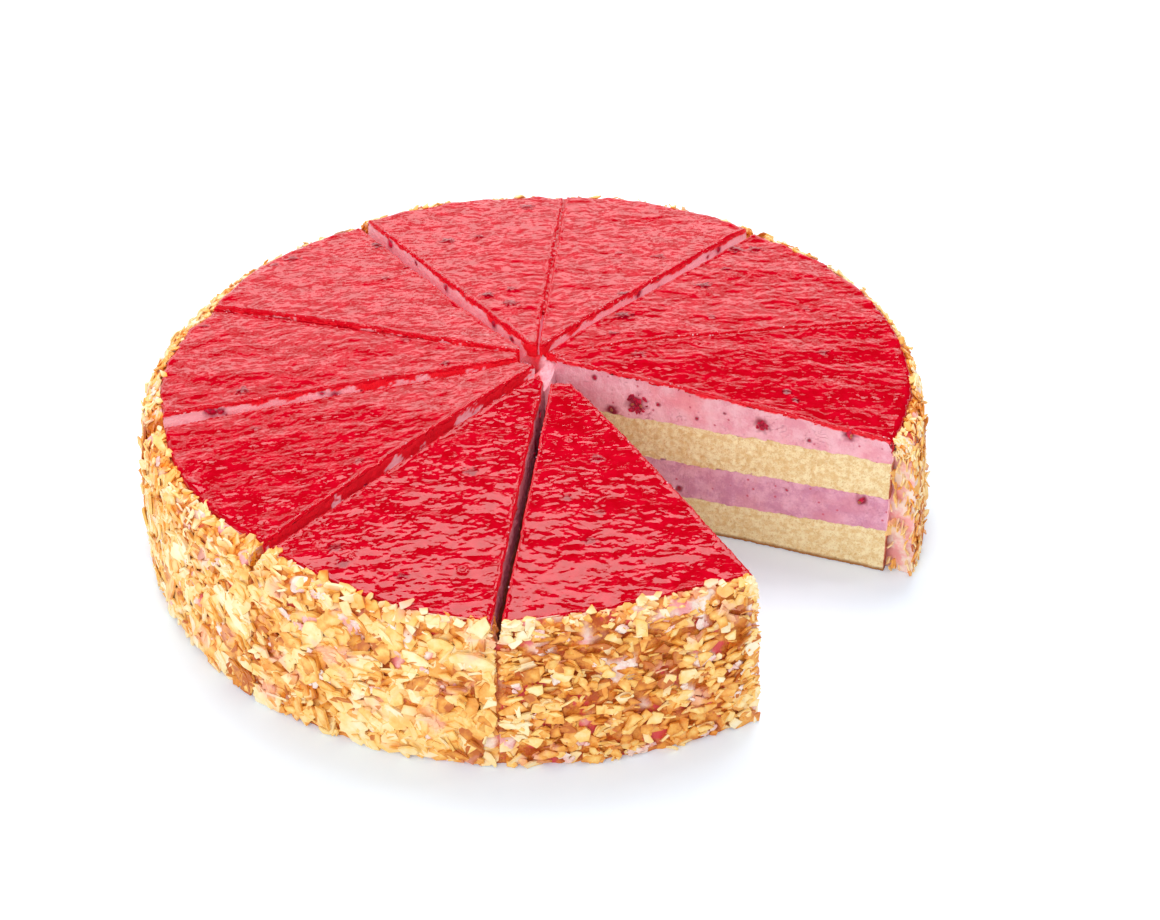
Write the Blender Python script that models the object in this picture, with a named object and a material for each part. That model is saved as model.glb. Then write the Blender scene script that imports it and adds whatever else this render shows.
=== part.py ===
# A raspberry torte cut into slices, which stand in a ring round one empty wedge.
# Every slice is base sponge, lower mousse, upper sponge, upper mousse and glaze, behind a coat of almonds.
# Lengths here are in millimetres and angles in degrees, counterclockwise from +X. Meshes are made in metres.
import math
import random

import bmesh
import bpy
from mathutils import Euler, Matrix, Vector

MM = 0.001

# The whole cake
RIM_RADIUS = 135.0
DOME_POWER = 1.2
RIM_TOP = 57.0
GAP = 0.3

# Each layer under the glaze: its name, how high its top is in the middle and at the rim, and how wavy
LAYERS = (
    ("base_sponge", 13.5, 18.0, 0.8),
    ("lower_mousse", 29.0, 32.0, 0.9),
    ("upper_sponge", 45.5, 47.5, 0.8),
    ("upper_mousse", 62.6, 55.0, 0.4),
)
WAVE_LENGTH = 110.0

# The glaze lies evenly on the top layer. Its shoulder at the rim has rows this far in and this far down
GLAZE_THICKNESS = 2.1
GLAZE_SHOULDER = ((2.6, 0.0), (0.8, 0.45), (0.0, 1.3))

# Each cut: where it ends near the middle, its angle at the rim, how far it bows to its left,
# and its width at the tip, halfway and at the rim
CUTS = (
    ((-2.8, 9.5), 120.0, 0.5, (3.4, 4.2, 4.4)),
    ((2.2, 9.9), 83.4, 0.0, (0.8, 0.9, 1.1)),
    ((4.4, 7.8), 48.6, 0.0, (2.2, 3.2, 4.0)),
    ((8.3, 4.5), 12.6, 2.5, (0.5, 0.5, 0.5)),
    ((8.2, 0.3), -20.8, 0.0, (0.0, 0.0, 0.0)),
    ((13.9, -14.0), -59.7, 1.2, (0.0, 0.0, 0.0)),
    ((5.2, -14.0), -95.6, 0.0, (2.6, 3.2, 2.8)),
    ((1.6, -8.2), -132.2, -0.8, (2.0, 3.6, 2.4)),
    ((-5.2, -0.9), -170.4, 0.0, (1.6, 3.4, 5.0)),
    ((-4.7, 4.5), 156.2, 0.0, (1.2, 1.2, 1.2)),
)
EMPTY_AFTER = 4

# Each slice, clockwise from the first cut, without the empty wedge after cut EMPTY_AFTER: the rim's radius
# at its first side, its middle and its second side, and how much its two sides stand above the rest
SLICES = (
    ((133.0, 133.5, 133.5), (0.3, 0.0)),
    ((133.5, 135.5, 134.0), (0.0, 0.5)),
    ((134.0, 137.5, 137.5), (-0.8, 0.0)),
    ((137.5, 136.5, 133.0), (0.0, 0.0)),
    ((136.5, 133.5, 138.0), (-0.5, -0.3)),
    ((138.0, 134.5, 131.5), (-0.5, 0.3)),
    ((131.5, 133.0, 132.5), (1.8, -0.8)),
    ((132.5, 135.0, 132.0), (0.8, -0.5)),
    ((132.0, 134.5, 133.0), (0.5, -1.0)),
)
STEPS_OUT = 3
STEPS_ACROSS = 5

# The coat of almonds
COAT_TOP_RADIUS = 139.0
COAT_FOOT_RADIUS = 143.2
COAT_FOLLOWS_RIM = 0.25
COAT_BELOW_RIM = 1.4
COAT_BULGE = 1.0
COAT_STEPS_UP = 3
FLAKE_COLUMNS = 8
FLAKE_ROWS = 4
FLAKE_LENGTH = (9.5, 14.0)
FLAKE_WIDTH = (6.5, 9.5)
FLAKE_THICKNESS = 1.2
FLAKE_SIDES = 6
FLAKE_UNEVEN = (0.85, 1.05)
FLAKE_TAPER = 0.84
FLAKE_PLACE = (0.2, 0.8)
FLAKE_TILT = 11.0
FLAKE_OUT = 0.9
FLAKE_FLOOR = 0.4
FLAKE_ABOVE_RIM = 3.0
FLAKE_CLEAR = 0.6
HALF_SPAN = 144.6

# The raspberries that the open cut passes through: how far along it, how high and how far inside the slice
# their middles are, and half their length, depth and height
CUT_OPEN_SLICE = 4
RASPBERRIES = (
    (31.0, 52.0, 1.2, (4.6, 4.0, 4.2)),
    (78.0, 53.0, 1.0, (3.5, 3.2, 3.3)),
)
RASPBERRY_DETAIL = 2
RASPBERRY_BUMP = 0.07
RASPBERRY_BUMPS_ROUND = 6
RASPBERRY_BUMPS_UP = 7

COLOURS = {
    "base_sponge": ((0.72, 0.50, 0.24), 0.85),
    "lower_mousse": ((0.71, 0.31, 0.38), 0.6),
    "upper_sponge": ((0.74, 0.53, 0.27), 0.85),
    "upper_mousse": ((0.85, 0.42, 0.48), 0.6),
    "glaze": ((0.60, 0.004, 0.018), 0.12),
    "almond_coat": ((0.74, 0.47, 0.19), 0.6),
    "raspberry": ((0.27, 0.006, 0.03), 0.35),
}
SMOOTH_UNDER = 30.0


def clear_scene():
    for thing in list(bpy.data.objects):
        bpy.data.objects.remove(thing)


def material(name):
    colour, roughness = COLOURS[name]
    made = bpy.data.materials.new(name)
    made.use_nodes = True
    shader = made.node_tree.nodes["Principled BSDF"]
    shader.inputs["Base Color"].default_value = (*colour, 1.0)
    shader.inputs["Roughness"].default_value = roughness
    shader.inputs["Metallic"].default_value = 0.0
    return made


def through(values, t):
    """The quadratic through three values, at 0, a half and 1."""
    first, middle, last = values
    return first * (1 - t) * (1 - 2 * t) + middle * 4 * t * (1 - t) + last * t * (2 * t - 1)


def at_angle(radius, degrees):
    turned = math.radians(degrees)
    return Vector((radius * math.cos(turned), radius * math.sin(turned)))


def cut_side(cut, side, rim_radius, t):
    """A point on a cut's left side (1) or right side (-1), from its tip at t = 0 to the rim at 1."""
    tip, rim_angle, bow, widths = cut
    start = Vector(tip)
    end = at_angle(rim_radius, rim_angle)
    along = (end - start).normalized()
    left = Vector((-along.y, along.x))
    aside = bow * math.sin(math.pi * min(t, 1.0)) + side * through(widths, min(t, 1.0)) / 2
    return start.lerp(end, t) + left * aside


class Slice:
    """One slice: where its points lie in plan, and how high its layers are there."""

    def __init__(self, number, first_cut, second_cut, rim, lift):
        self.number = number
        self.first_cut = first_cut
        self.second_cut = second_cut
        self.rim = rim
        self.lift = lift

    def rim_radius(self, across):
        return through(self.rim, across)

    def side_angle(self, across, radius):
        """The angle at which a side's line, carried on past the rim, is this far from the middle."""
        cut, side, rim = (
            (self.first_cut, -1, self.rim[0]) if across == 0 else (self.second_cut, 1, self.rim[2])
        )
        near = cut_side(cut, side, rim, 1.0)
        along = (near - cut_side(cut, side, rim, 0.9)).normalized()
        reach = near.dot(along)
        step = -reach + math.sqrt(reach * reach - near.length_squared + radius * radius)
        point = near + along * step
        return math.degrees(math.atan2(point.y, point.x))

    def on_circle(self, across, radius):
        first = self.side_angle(0, radius)
        second = self.side_angle(1, radius)
        if second > first:
            second -= 360.0
        return at_angle(radius, first + (second - first) * across)

    def plan(self, out, across):
        """The point this far out, 0 at the tip to 1 at the rim, and across, 0 at the first side to 1."""
        first = cut_side(self.first_cut, -1, self.rim[0], out)
        second = cut_side(self.second_cut, 1, self.rim[2], out)
        chord = first.lerp(second, across)
        tip = cut_side(self.first_cut, -1, self.rim[0], 0).lerp(
            cut_side(self.second_cut, 1, self.rim[2], 0), across
        )
        straight_rim = cut_side(self.first_cut, -1, self.rim[0], 1).lerp(
            cut_side(self.second_cut, 1, self.rim[2], 1), across
        )
        curved_rim = self.on_circle(across, self.rim_radius(across))
        inside = 0 < across < 1
        return chord + (curved_rim - straight_rim) * out if inside else chord

    def height(self, layer, point, across):
        """The height of a layer's top over a point in plan."""
        _, middle, rim, wave = LAYERS[layer]
        share = 1 - min(point.length / RIM_RADIUS, 1.0) ** DOME_POWER
        flat = rim + (middle - rim) * share
        turn = math.tau / WAVE_LENGTH
        swell = math.sin(point.x * turn + 2.1 * layer + self.number) * math.sin(point.y * turn - 1.3 * layer)
        lifted = self.lift[0] * (1 - across) + self.lift[1] * across
        return flat + wave * swell + lifted * flat / RIM_TOP

    def glaze_top(self, point, across):
        return self.height(len(LAYERS) - 1, point, across) + GLAZE_THICKNESS


def block(steps_out, steps_across, steps_up):
    """A closed block from 0 to 1 each way, with its faces in a grid."""
    mesh = bmesh.new()
    bmesh.ops.create_grid(mesh, x_segments=steps_out, y_segments=steps_across, size=0.5)
    bmesh.ops.translate(mesh, verts=mesh.verts, vec=(0.5, 0.5, 0.0))
    grown = bmesh.ops.extrude_face_region(mesh, geom=list(mesh.faces))["geom"]
    raised = [part for part in grown if isinstance(part, bmesh.types.BMVert)]
    bmesh.ops.translate(mesh, verts=raised, vec=(0.0, 0.0, 1.0))
    upright = [edge for edge in mesh.edges if abs(edge.verts[0].co.z - edge.verts[1].co.z) > 0.5]
    if steps_up > 1:
        bmesh.ops.subdivide_edges(mesh, edges=upright, cuts=steps_up - 1, use_grid_fill=True)
    return mesh


def add_object(name, mesh, paint):
    bmesh.ops.recalc_face_normals(mesh, faces=mesh.faces)
    if mesh.calc_volume(signed=True) < 0:
        bmesh.ops.reverse_faces(mesh, faces=mesh.faces)
    data = bpy.data.meshes.new(name)
    mesh.to_mesh(data)
    mesh.free()
    data.materials.append(paint)
    data.shade_smooth()
    data.set_sharp_from_angle(angle=math.radians(SMOOTH_UNDER))
    made = bpy.data.objects.new(name, data)
    bpy.context.scene.collection.objects.link(made)
    return made


def apply_boolean(target, operation, tool, solver):
    """Joins or cuts the target with every object of a collection, applies that and removes them."""
    fuse = target.modifiers.new(operation.lower(), "BOOLEAN")
    fuse.operation = operation
    fuse.operand_type = "COLLECTION"
    fuse.collection = tool
    fuse.solver = solver
    made = bpy.data.meshes.new_from_object(target.evaluated_get(bpy.context.evaluated_depsgraph_get()))
    made.name = target.name
    target.modifiers.clear()
    target.data = made
    for thing in list(tool.objects):
        bpy.data.objects.remove(thing)
    bpy.data.collections.remove(tool)


def add_tool(group, name, mesh, paint):
    """An object that a Boolean uses up, kept in a collection of its own."""
    made = add_object(name, mesh, paint)
    bpy.context.scene.collection.objects.unlink(made)
    group.objects.link(made)


def add_layer(piece, layer, paint):
    """One cake layer between the layer below and its own top, with a small gap to each neighbour."""
    mesh = block(STEPS_OUT, STEPS_ACROSS, 1)
    for vert in mesh.verts:
        out, across, up = vert.co
        point = piece.plan(out, across)
        if up > 0.5:
            high = piece.height(layer, point, across) - GAP / 2
        elif layer > 0:
            high = piece.height(layer - 1, point, across) + GAP / 2
        else:
            high = 0.0
        vert.co = Vector((point.x, point.y, high)) * MM
    return add_object(f"slice_{piece.number}_{LAYERS[layer][0]}", mesh, paint)


def add_glaze(piece, paint):
    """The glaze: the top layer, whose outer edge rolls over in a soft shoulder."""
    below = len(LAYERS) - 1
    rows = STEPS_OUT + len(GLAZE_SHOULDER) - 1
    mesh = block(rows, STEPS_ACROSS, 1)
    for vert in mesh.verts:
        out, across, up = vert.co
        row = round(out * rows)
        inner = piece.plan(min(row, STEPS_OUT - 1) / STEPS_OUT, across)
        edge = piece.plan(1.0, across)
        under = piece.height(below, inner, across)
        if row < STEPS_OUT:
            point = inner
            drop = 0.0
        else:
            inward, drop = GLAZE_SHOULDER[row - STEPS_OUT]
            share = 1 - inward / (edge - inner).length
            point = inner.lerp(edge, share)
            under += (piece.height(below, edge, across) - under) * share
        high = under + GLAZE_THICKNESS - drop if up > 0.5 else under + GAP / 2
        vert.co = Vector((point.x, point.y, high)) * MM
    return add_object(f"slice_{piece.number}_glaze", mesh, paint)


def coat_radius(piece, across, up):
    """The radius of the coat's outer face, which spreads towards its foot."""
    follows = (piece.rim_radius(across) - RIM_RADIUS) * COAT_FOLLOWS_RIM
    straight = COAT_FOOT_RADIUS + (COAT_TOP_RADIUS - COAT_FOOT_RADIUS) * up
    return straight + follows + COAT_BULGE * math.sin(math.pi * up)


def coat_top(piece, across):
    return piece.glaze_top(piece.plan(1.0, across), across) - COAT_BELOW_RIM


def coat_shell(piece):
    """The cream that holds the almonds, an upright strip from the table to just under the glaze's rim."""
    mesh = block(1, STEPS_ACROSS, COAT_STEPS_UP)
    for vert in mesh.verts:
        out, across, up = vert.co
        if out < 0.5:
            edge = piece.plan(1.0, across)
            clear = edge.length + GAP
            point = piece.on_circle(across, clear)
        else:
            point = piece.on_circle(across, coat_radius(piece, across, up))
        vert.co = Vector((point.x, point.y, coat_top(piece, across) * up)) * MM
    return mesh


def flake_mesh(rng, length, width):
    """A thin almond slice with uneven sides."""
    mesh = bmesh.new()
    bmesh.ops.create_cone(
        mesh, cap_ends=True, segments=FLAKE_SIDES, radius1=0.5, radius2=FLAKE_TAPER / 2, depth=1.0
    )
    for vert in mesh.verts:
        vert.co.x *= length * rng.uniform(*FLAKE_UNEVEN)
        vert.co.y *= width * rng.uniform(*FLAKE_UNEVEN)
        vert.co.z *= FLAKE_THICKNESS
    return mesh


def place_flake(piece, mesh, rng, across, up):
    """Lays a flake on the coat's outer face, tilted at random, and keeps it off every neighbour."""
    radius = coat_radius(piece, across, min(up, 1.0)) + FLAKE_OUT
    centre = piece.on_circle(across, radius)
    facing = math.atan2(centre.y, centre.x)
    spin = Matrix.Rotation(rng.uniform(0.0, math.tau), 4, "Z")
    tilt = math.radians(FLAKE_TILT)
    lean = Euler((rng.uniform(-tilt, tilt), rng.uniform(-tilt, tilt), 0.0)).to_matrix().to_4x4()
    upright = Matrix.Rotation(facing, 4, "Z") @ Matrix.Rotation(math.pi / 2, 4, "Y")
    origin = Vector((centre.x, centre.y, coat_top(piece, across) * up))
    bmesh.ops.transform(mesh, verts=mesh.verts, matrix=Matrix.Translation(origin) @ upright @ lean @ spin)
    ceiling = coat_top(piece, across) + FLAKE_ABOVE_RIM
    for vert in mesh.verts:
        vert.co.z = min(max(vert.co.z, FLAKE_FLOOR), ceiling)
        flat = vert.co.xy
        inner = max(piece.rim) + FLAKE_CLEAR
        if flat.length < inner:
            vert.co.xy = flat * (inner / flat.length)
        vert.co.x = min(max(vert.co.x, -HALF_SPAN), HALF_SPAN)
        vert.co.y = min(max(vert.co.y, -HALF_SPAN), HALF_SPAN)
    return mesh


def coat_flakes(piece):
    """Flakes in jittered rows and columns, far enough from both cuts to stay on their own slice."""
    rng = random.Random(piece.number)
    width = (piece.on_circle(0, RIM_RADIUS) - piece.on_circle(1, RIM_RADIUS)).length
    for row in range(FLAKE_ROWS):
        for column in range(FLAKE_COLUMNS):
            length = rng.uniform(*FLAKE_LENGTH)
            margin = (length / 2 + FLAKE_CLEAR) / width
            across = (column + rng.uniform(*FLAKE_PLACE)) / FLAKE_COLUMNS
            up = (row + rng.uniform(*FLAKE_PLACE)) / FLAKE_ROWS
            flake = flake_mesh(rng, length, rng.uniform(*FLAKE_WIDTH))
            yield place_flake(piece, flake, rng, margin + (1 - 2 * margin) * across, up)


def keep_largest(data):
    """Leaves only the outer skin of a fused mesh, which is the island with the most points."""
    mesh = bmesh.new()
    mesh.from_mesh(data)
    islands = []
    left = set(mesh.verts)
    while left:
        front = [left.pop()]
        island = set(front)
        while front:
            vert = front.pop()
            for edge in vert.link_edges:
                other = edge.other_vert(vert)
                if other in left:
                    left.discard(other)
                    island.add(other)
                    front.append(other)
        islands.append(island)
    islands.sort(key=len)
    loose = [vert for island in islands[:-1] for vert in island]
    bmesh.ops.delete(mesh, geom=loose, context="VERTS")
    mesh.to_mesh(data)
    mesh.free()


def add_coat(piece, paint):
    """The coat with its flakes fused on."""
    name = f"slice_{piece.number}_almond_coat"
    coat = add_object(name, coat_shell(piece), paint)
    flakes = bpy.data.collections.new(f"{name}_flakes")
    for mesh in coat_flakes(piece):
        bmesh.ops.scale(mesh, verts=mesh.verts, vec=(MM, MM, MM))
        add_tool(flakes, f"{name}_flake", mesh, paint)
    apply_boolean(coat, "UNION", flakes, "MANIFOLD")
    keep_largest(coat.data)


def berry_mesh(half, grown):
    """A raspberry's lumpy ball about its own middle: x along the cut, y into the slice, z up."""
    mesh = bmesh.new()
    bmesh.ops.create_icosphere(mesh, subdivisions=RASPBERRY_DETAIL, radius=1.0)
    for vert in mesh.verts:
        turn = math.atan2(vert.co.y, vert.co.x) * RASPBERRY_BUMPS_ROUND
        rise = math.asin(max(-1.0, min(1.0, vert.co.z))) * RASPBERRY_BUMPS_UP
        lump = 1 + RASPBERRY_BUMP * math.sin(turn) * math.cos(rise)
        vert.co = Vector(vert.co[i] * (half[i] * lump + grown) for i in range(3))
    return mesh


def add_raspberries(piece, mousse, paint):
    """Raspberries sliced flush with the open cut, each in a pocket of the mousse."""
    near = cut_side(piece.second_cut, 1, piece.rim[2], 0)
    along = (cut_side(piece.second_cut, 1, piece.rim[2], 1) - near).normalized()
    inward = Vector((-along.y, along.x))
    turned = Matrix.Rotation(math.atan2(along.y, along.x), 4, "Z")
    pockets = bpy.data.collections.new("raspberry_pockets")
    for number, (reach, high, inside, half) in enumerate(RASPBERRIES, 1):
        name = f"slice_{piece.number}_raspberry_{number}"
        on_cut = near + along * reach
        middle = on_cut + inward * inside
        placed = Matrix.Scale(MM, 4) @ Matrix.Translation((*middle, high)) @ turned
        pocket = berry_mesh(half, GAP)
        bmesh.ops.transform(pocket, verts=pocket.verts, matrix=placed)
        add_tool(pockets, f"{name}_pocket", pocket, paint)
        berry = berry_mesh(half, 0.0)
        bmesh.ops.transform(berry, verts=berry.verts, matrix=placed)
        everything = [*berry.verts, *berry.edges, *berry.faces]
        bmesh.ops.bisect_plane(
            berry, geom=everything, plane_co=(*(on_cut * MM), 0.0), plane_no=(*inward, 0.0), clear_inner=True
        )
        rim = [edge for edge in berry.edges if edge.is_boundary]
        bmesh.ops.edgeloop_fill(berry, edges=rim)
        add_object(name, berry, paint)
    apply_boolean(mousse, "DIFFERENCE", pockets, "EXACT")


def slices():
    """The slices, numbered clockwise from the first cut."""
    number = 0
    for index, first_cut in enumerate(CUTS):
        if index == EMPTY_AFTER:
            continue
        rim, lift = SLICES[number]
        number += 1
        yield Slice(number, first_cut, CUTS[(index + 1) % len(CUTS)], rim, lift)


def main():
    clear_scene()
    paints = {name: material(name) for name in COLOURS}
    for piece in slices():
        layers = {}
        for layer, (name, *_) in enumerate(LAYERS):
            layers[name] = add_layer(piece, layer, paints[name])
        add_glaze(piece, paints["glaze"])
        add_coat(piece, paints["almond_coat"])
        if piece.number == CUT_OPEN_SLICE:
            add_raspberries(piece, layers["upper_mousse"], paints["raspberry"])


main()
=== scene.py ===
# Looks of the raspberry torte: rippled jelly over mousse and sponge, with toasted almonds round its side
import math
import random

import bmesh
import bpy
import numpy as np
from mathutils import Matrix, Vector, noise
from mathutils.bvhtree import BVHTree


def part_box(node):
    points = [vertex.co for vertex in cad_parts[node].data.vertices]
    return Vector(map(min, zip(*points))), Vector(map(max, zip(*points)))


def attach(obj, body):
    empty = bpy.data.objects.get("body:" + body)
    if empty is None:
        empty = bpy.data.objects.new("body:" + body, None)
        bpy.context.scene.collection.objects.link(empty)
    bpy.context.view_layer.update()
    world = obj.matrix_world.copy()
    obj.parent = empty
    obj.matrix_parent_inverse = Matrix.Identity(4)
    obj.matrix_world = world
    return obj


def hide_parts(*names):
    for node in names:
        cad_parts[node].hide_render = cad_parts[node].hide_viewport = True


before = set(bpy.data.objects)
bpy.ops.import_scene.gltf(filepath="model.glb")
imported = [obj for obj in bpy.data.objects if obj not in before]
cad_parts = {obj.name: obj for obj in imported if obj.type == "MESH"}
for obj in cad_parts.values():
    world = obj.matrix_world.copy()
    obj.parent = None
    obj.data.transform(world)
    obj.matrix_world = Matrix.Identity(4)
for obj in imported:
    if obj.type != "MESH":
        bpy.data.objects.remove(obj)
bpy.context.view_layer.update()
mm = 0.001  # every piece is shaped in millimetres and scaled to metres at its end
noise.seed_set(5)  # the same swirls in the jelly each time
sliceCount = 9

# The camera stands where the photograph was taken from, turned a little off the torte's middle
camera = {
    "frameWidth": 1160,
    "focalPixels": 2259.86,
    "sensor": 36.0,
    "distance": 0.85,
    "elevation": 36.757,
    "pan": 1.411,
    "tilt": 1.061,
    "roll": -0.793,
}


def addCamera():
    elevation = math.radians(camera["elevation"])
    pitch = math.radians(camera["tilt"]) - elevation
    pan = math.radians(camera["pan"])
    ahead = Vector((math.sin(pan) * math.cos(pitch), math.cos(pan) * math.cos(pitch), math.sin(pitch)))
    right = ahead.cross(Vector((0, 0, 1))).normalized()
    right = Matrix.Rotation(math.radians(-camera["roll"]), 3, ahead) @ right
    up = right.cross(ahead)
    data = bpy.data.cameras.new("view")
    data.sensor_width = camera["sensor"]
    data.lens = camera["focalPixels"] / camera["frameWidth"] * camera["sensor"]
    made = bpy.data.objects.new("view", data)
    bpy.context.scene.collection.objects.link(made)
    place = Vector((0, -math.cos(elevation), math.sin(elevation))) * camera["distance"]
    made.matrix_world = Matrix.Translation(place) @ Matrix((right, up, -ahead)).transposed().to_4x4()
    bpy.context.scene.camera = made


# A white room fills the shadows and isn't mirrored in the jelly; the panels are, as broad pale patches
light = {
    "room": 0.55,
    "floor": (0.85, 0.92, 1.0, 1.0),
    "floorGlow": (0.09, 0.12, 0.15, 1.0),  # a lit table: its shadows stay pale
    "panels": (  # azimuth and height of the middle in degrees, distance, width, height in metres, brightness
        ("backdrop", 103.0, 18.0, 1.5, 2.1, 0.92, 0.52),
        ("low_strip", 100.0, 10.5, 1.49, 1.9, 0.15, 2.0),
        ("middle_strip", 102.0, 23.5, 1.49, 2.0, 0.17, 2.2),
        ("high_strip", 103.0, 33.5, 1.49, 2.0, 0.07, 1.7),
        ("overhead", 87.0, 63.2, 1.3, 1.15, 0.56, 5.1),
        ("top_spark", 60.0, 78.0, 1.4, 0.1, 0.1, 22.0),
        ("side_spark", 2.0, 34.0, 1.4, 0.12, 0.12, 30.0),
        ("left_wall", 190.0, 30.0, 1.5, 0.8, 0.6, 1.0),
        ("front_fill", 248.0, 30.0, 1.5, 1.2, 0.8, 2.3),
        ("wall_fill", 262.0, 52.0, 1.4, 0.7, 0.4, 1.9),
    ),
}


def addLights():
    world = bpy.data.worlds.new("room")
    world.use_nodes = True
    tree = world.node_tree
    seen = addNode(tree, "ShaderNodeLightPath").outputs["Is Camera Ray"]
    room = addNode(tree, "ShaderNodeMapRange", values={"To Min": light["room"], "To Max": 1.0}, links={"Value": seen})
    tree.nodes["Background"].inputs["Color"].default_value = (1, 1, 1, 1)
    tree.links.new(room.outputs["Result"], tree.nodes["Background"].inputs["Strength"])
    world.cycles_visibility.glossy = False
    bpy.context.scene.world = world
    for name, azimuth, height, distance, width, tall, bright in light["panels"]:
        data = bpy.data.lights.new(name, "AREA")
        data.shape = "RECTANGLE"
        data.size = width
        data.size_y = tall
        data.energy = bright * math.pi * width * tall
        turn = math.radians(azimuth)
        rise = math.radians(height)
        outward = Vector((math.cos(turn) * math.cos(rise), math.sin(turn) * math.cos(rise), math.sin(rise)))
        made = bpy.data.objects.new(name, data)
        made.location = outward * distance
        made.rotation_euler = outward.to_track_quat("Z", "Y").to_euler()
        made.visible_camera = False
        bpy.context.scene.collection.objects.link(made)
    bpy.context.scene.view_settings.view_transform = "Standard"


def addFloor():
    mesh = bmesh.new()
    bmesh.ops.create_grid(mesh, x_segments=1, y_segments=1, size=4000.0)
    paint, shader = newPaint("floor", 0.9)
    shader.inputs["Base Color"].default_value = light["floor"]
    shader.inputs["Emission Color"].default_value = light["floorGlow"]
    shader.inputs["Emission Strength"].default_value = 1.0
    finishPiece("floor", mesh, paint)


def finishPiece(name, mesh, paint, sharp=None, slot=None, replaced=None):
    # The mesh comes in millimetres; a piece of the torte also rides on it, and may stand for a node
    bmesh.ops.scale(mesh, verts=mesh.verts, vec=(mm, mm, mm))
    data = bpy.data.meshes.new(name)
    mesh.to_mesh(data)
    mesh.free()
    data.materials.append(paint)
    if sharp is not None:
        data.shade_smooth()
        data.set_sharp_from_angle(angle=math.radians(sharp))
    made = bpy.data.objects.new(name, data)
    bpy.context.scene.collection.objects.link(made)
    if slot:
        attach(made, "root")
    if replaced:
        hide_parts(replaced)
    return made


def newPaint(name, roughness):
    paint = bpy.data.materials.new(name)
    paint.use_nodes = True
    shader = paint.node_tree.nodes["Principled BSDF"]
    shader.inputs["Roughness"].default_value = roughness
    return paint, shader


def addNode(tree, kind, settings=None, values=None, links=None):
    # One shader node: its own settings, its sockets' values, and what feeds its sockets
    made = tree.nodes.new(kind)
    for name, value in (settings or {}).items():
        setattr(made, name, value)
    for socket, value in (values or {}).items():
        made.inputs[socket].default_value = value
    for socket, source in (links or {}).items():
        tree.links.new(source, made.inputs[socket])
    return made


def mixColours(tree, share, first, second):
    # Sockets 6 and 7 are the colours of a Mix node and its output 2 is theirs; each may be a colour or a link
    made = addNode(tree, "ShaderNodeMix", {"data_type": "RGBA"})
    for socket, source in ((0, share), (6, first), (7, second)):
        if isinstance(source, (tuple, float)):
            made.inputs[socket].default_value = source
        else:
            tree.links.new(source, made.inputs[socket])
    return made.outputs[2]


def tintColours(tree, share, colour, tint):
    settings = {"data_type": "RGBA", "blend_type": "MULTIPLY"}
    return addNode(tree, "ShaderNodeMix", settings, {7: tint}, {0: share, 6: colour}).outputs[2]


def spreadValue(tree, source, low, high):
    settings, values = {"interpolation_type": "SMOOTHSTEP"}, {"From Min": low, "From Max": high}
    return addNode(tree, "ShaderNodeMapRange", settings, values, {"Value": source}).outputs["Result"]


def scaleValue(tree, source, by):
    return addNode(tree, "ShaderNodeMath", {"operation": "MULTIPLY"}, {1: by}, {0: source}).outputs[0]


def objectPlace(tree):
    return addNode(tree, "ShaderNodeTexCoord").outputs["Object"]


def addNoise(tree, place, scale, detail, roughness=0.5, distortion=0.0):
    values = {"Scale": scale, "Detail": detail, "Roughness": roughness, "Distortion": distortion}
    return addNode(tree, "ShaderNodeTexNoise", values=values, links={"Vector": place}).outputs["Fac"]


def readValue(tree, name):
    return addNode(tree, "ShaderNodeAttribute", {"attribute_name": name}).outputs["Fac"]


def srgb(red, green, blue, dim=1.0):
    # A colour as a screen shows it (0 to 255), turned linear and divided by the light that falls there
    parts = []
    for part in (red, green, blue):
        part = part / 255
        part = part / 12.92 if part <= 0.04045 else ((part + 0.055) / 1.055) ** 2.4
        parts.append(part / dim)
    return (*parts, 1.0)


def mottleGroup():
    # Two-tone mottling with a fine grain, in object space: sponge, mousse, cream and almonds all have it
    group = bpy.data.node_groups.new("mottle", "ShaderNodeTree")
    sockets = (("Light", "Color"), ("Dark", "Color"), ("Patch Scale", "Float"), ("Grain Scale", "Float"))
    for name, kind in sockets:
        group.interface.new_socket(name, in_out="INPUT", socket_type=f"NodeSocket{kind}")
    group.interface.new_socket("Colour", in_out="OUTPUT", socket_type="NodeSocketColor")
    group.interface.new_socket("Height", in_out="OUTPUT", socket_type="NodeSocketFloat")
    taken = addNode(group, "NodeGroupInput").outputs
    place = objectPlace(group)
    noises = []
    for scale, detail, roughness in (("Patch Scale", 4.0, 0.6), ("Grain Scale", 2.0, 0.7)):
        values, links = {"Detail": detail, "Roughness": roughness}, {"Vector": place, "Scale": taken[scale]}
        noises.append(addNode(group, "ShaderNodeTexNoise", None, values, links).outputs["Fac"])
    patch, grain = noises
    share = addNode(group, "ShaderNodeMath", {"operation": "MULTIPLY_ADD"}, {1: 0.35, 2: -0.17}, {0: grain})
    both = addNode(group, "ShaderNodeMath", {"operation": "ADD"}, links={0: patch, 1: share.outputs[0]})
    mixed = mixColours(group, spreadValue(group, both.outputs[0], 0.34, 0.66), taken["Dark"], taken["Light"])
    given = addNode(group, "NodeGroupOutput")
    group.links.new(mixed, given.inputs["Colour"])
    group.links.new(grain, given.inputs["Height"])
    return group


def addMottle(tree, pale, dark, patch, grain):
    made = addNode(tree, "ShaderNodeGroup", {"node_tree": mottle}, {"Patch Scale": patch, "Grain Scale": grain})
    made.inputs["Light"].default_value = pale
    made.inputs["Dark"].default_value = dark
    return made.outputs["Colour"], made.outputs["Height"]


def addBump(tree, shader, height, distance, strength=1.0):
    bump = addNode(
        tree, "ShaderNodeBump", values={"Strength": strength, "Distance": distance}, links={"Height": height}
    )
    tree.links.new(bump.outputs["Normal"], shader.inputs["Normal"])


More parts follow.
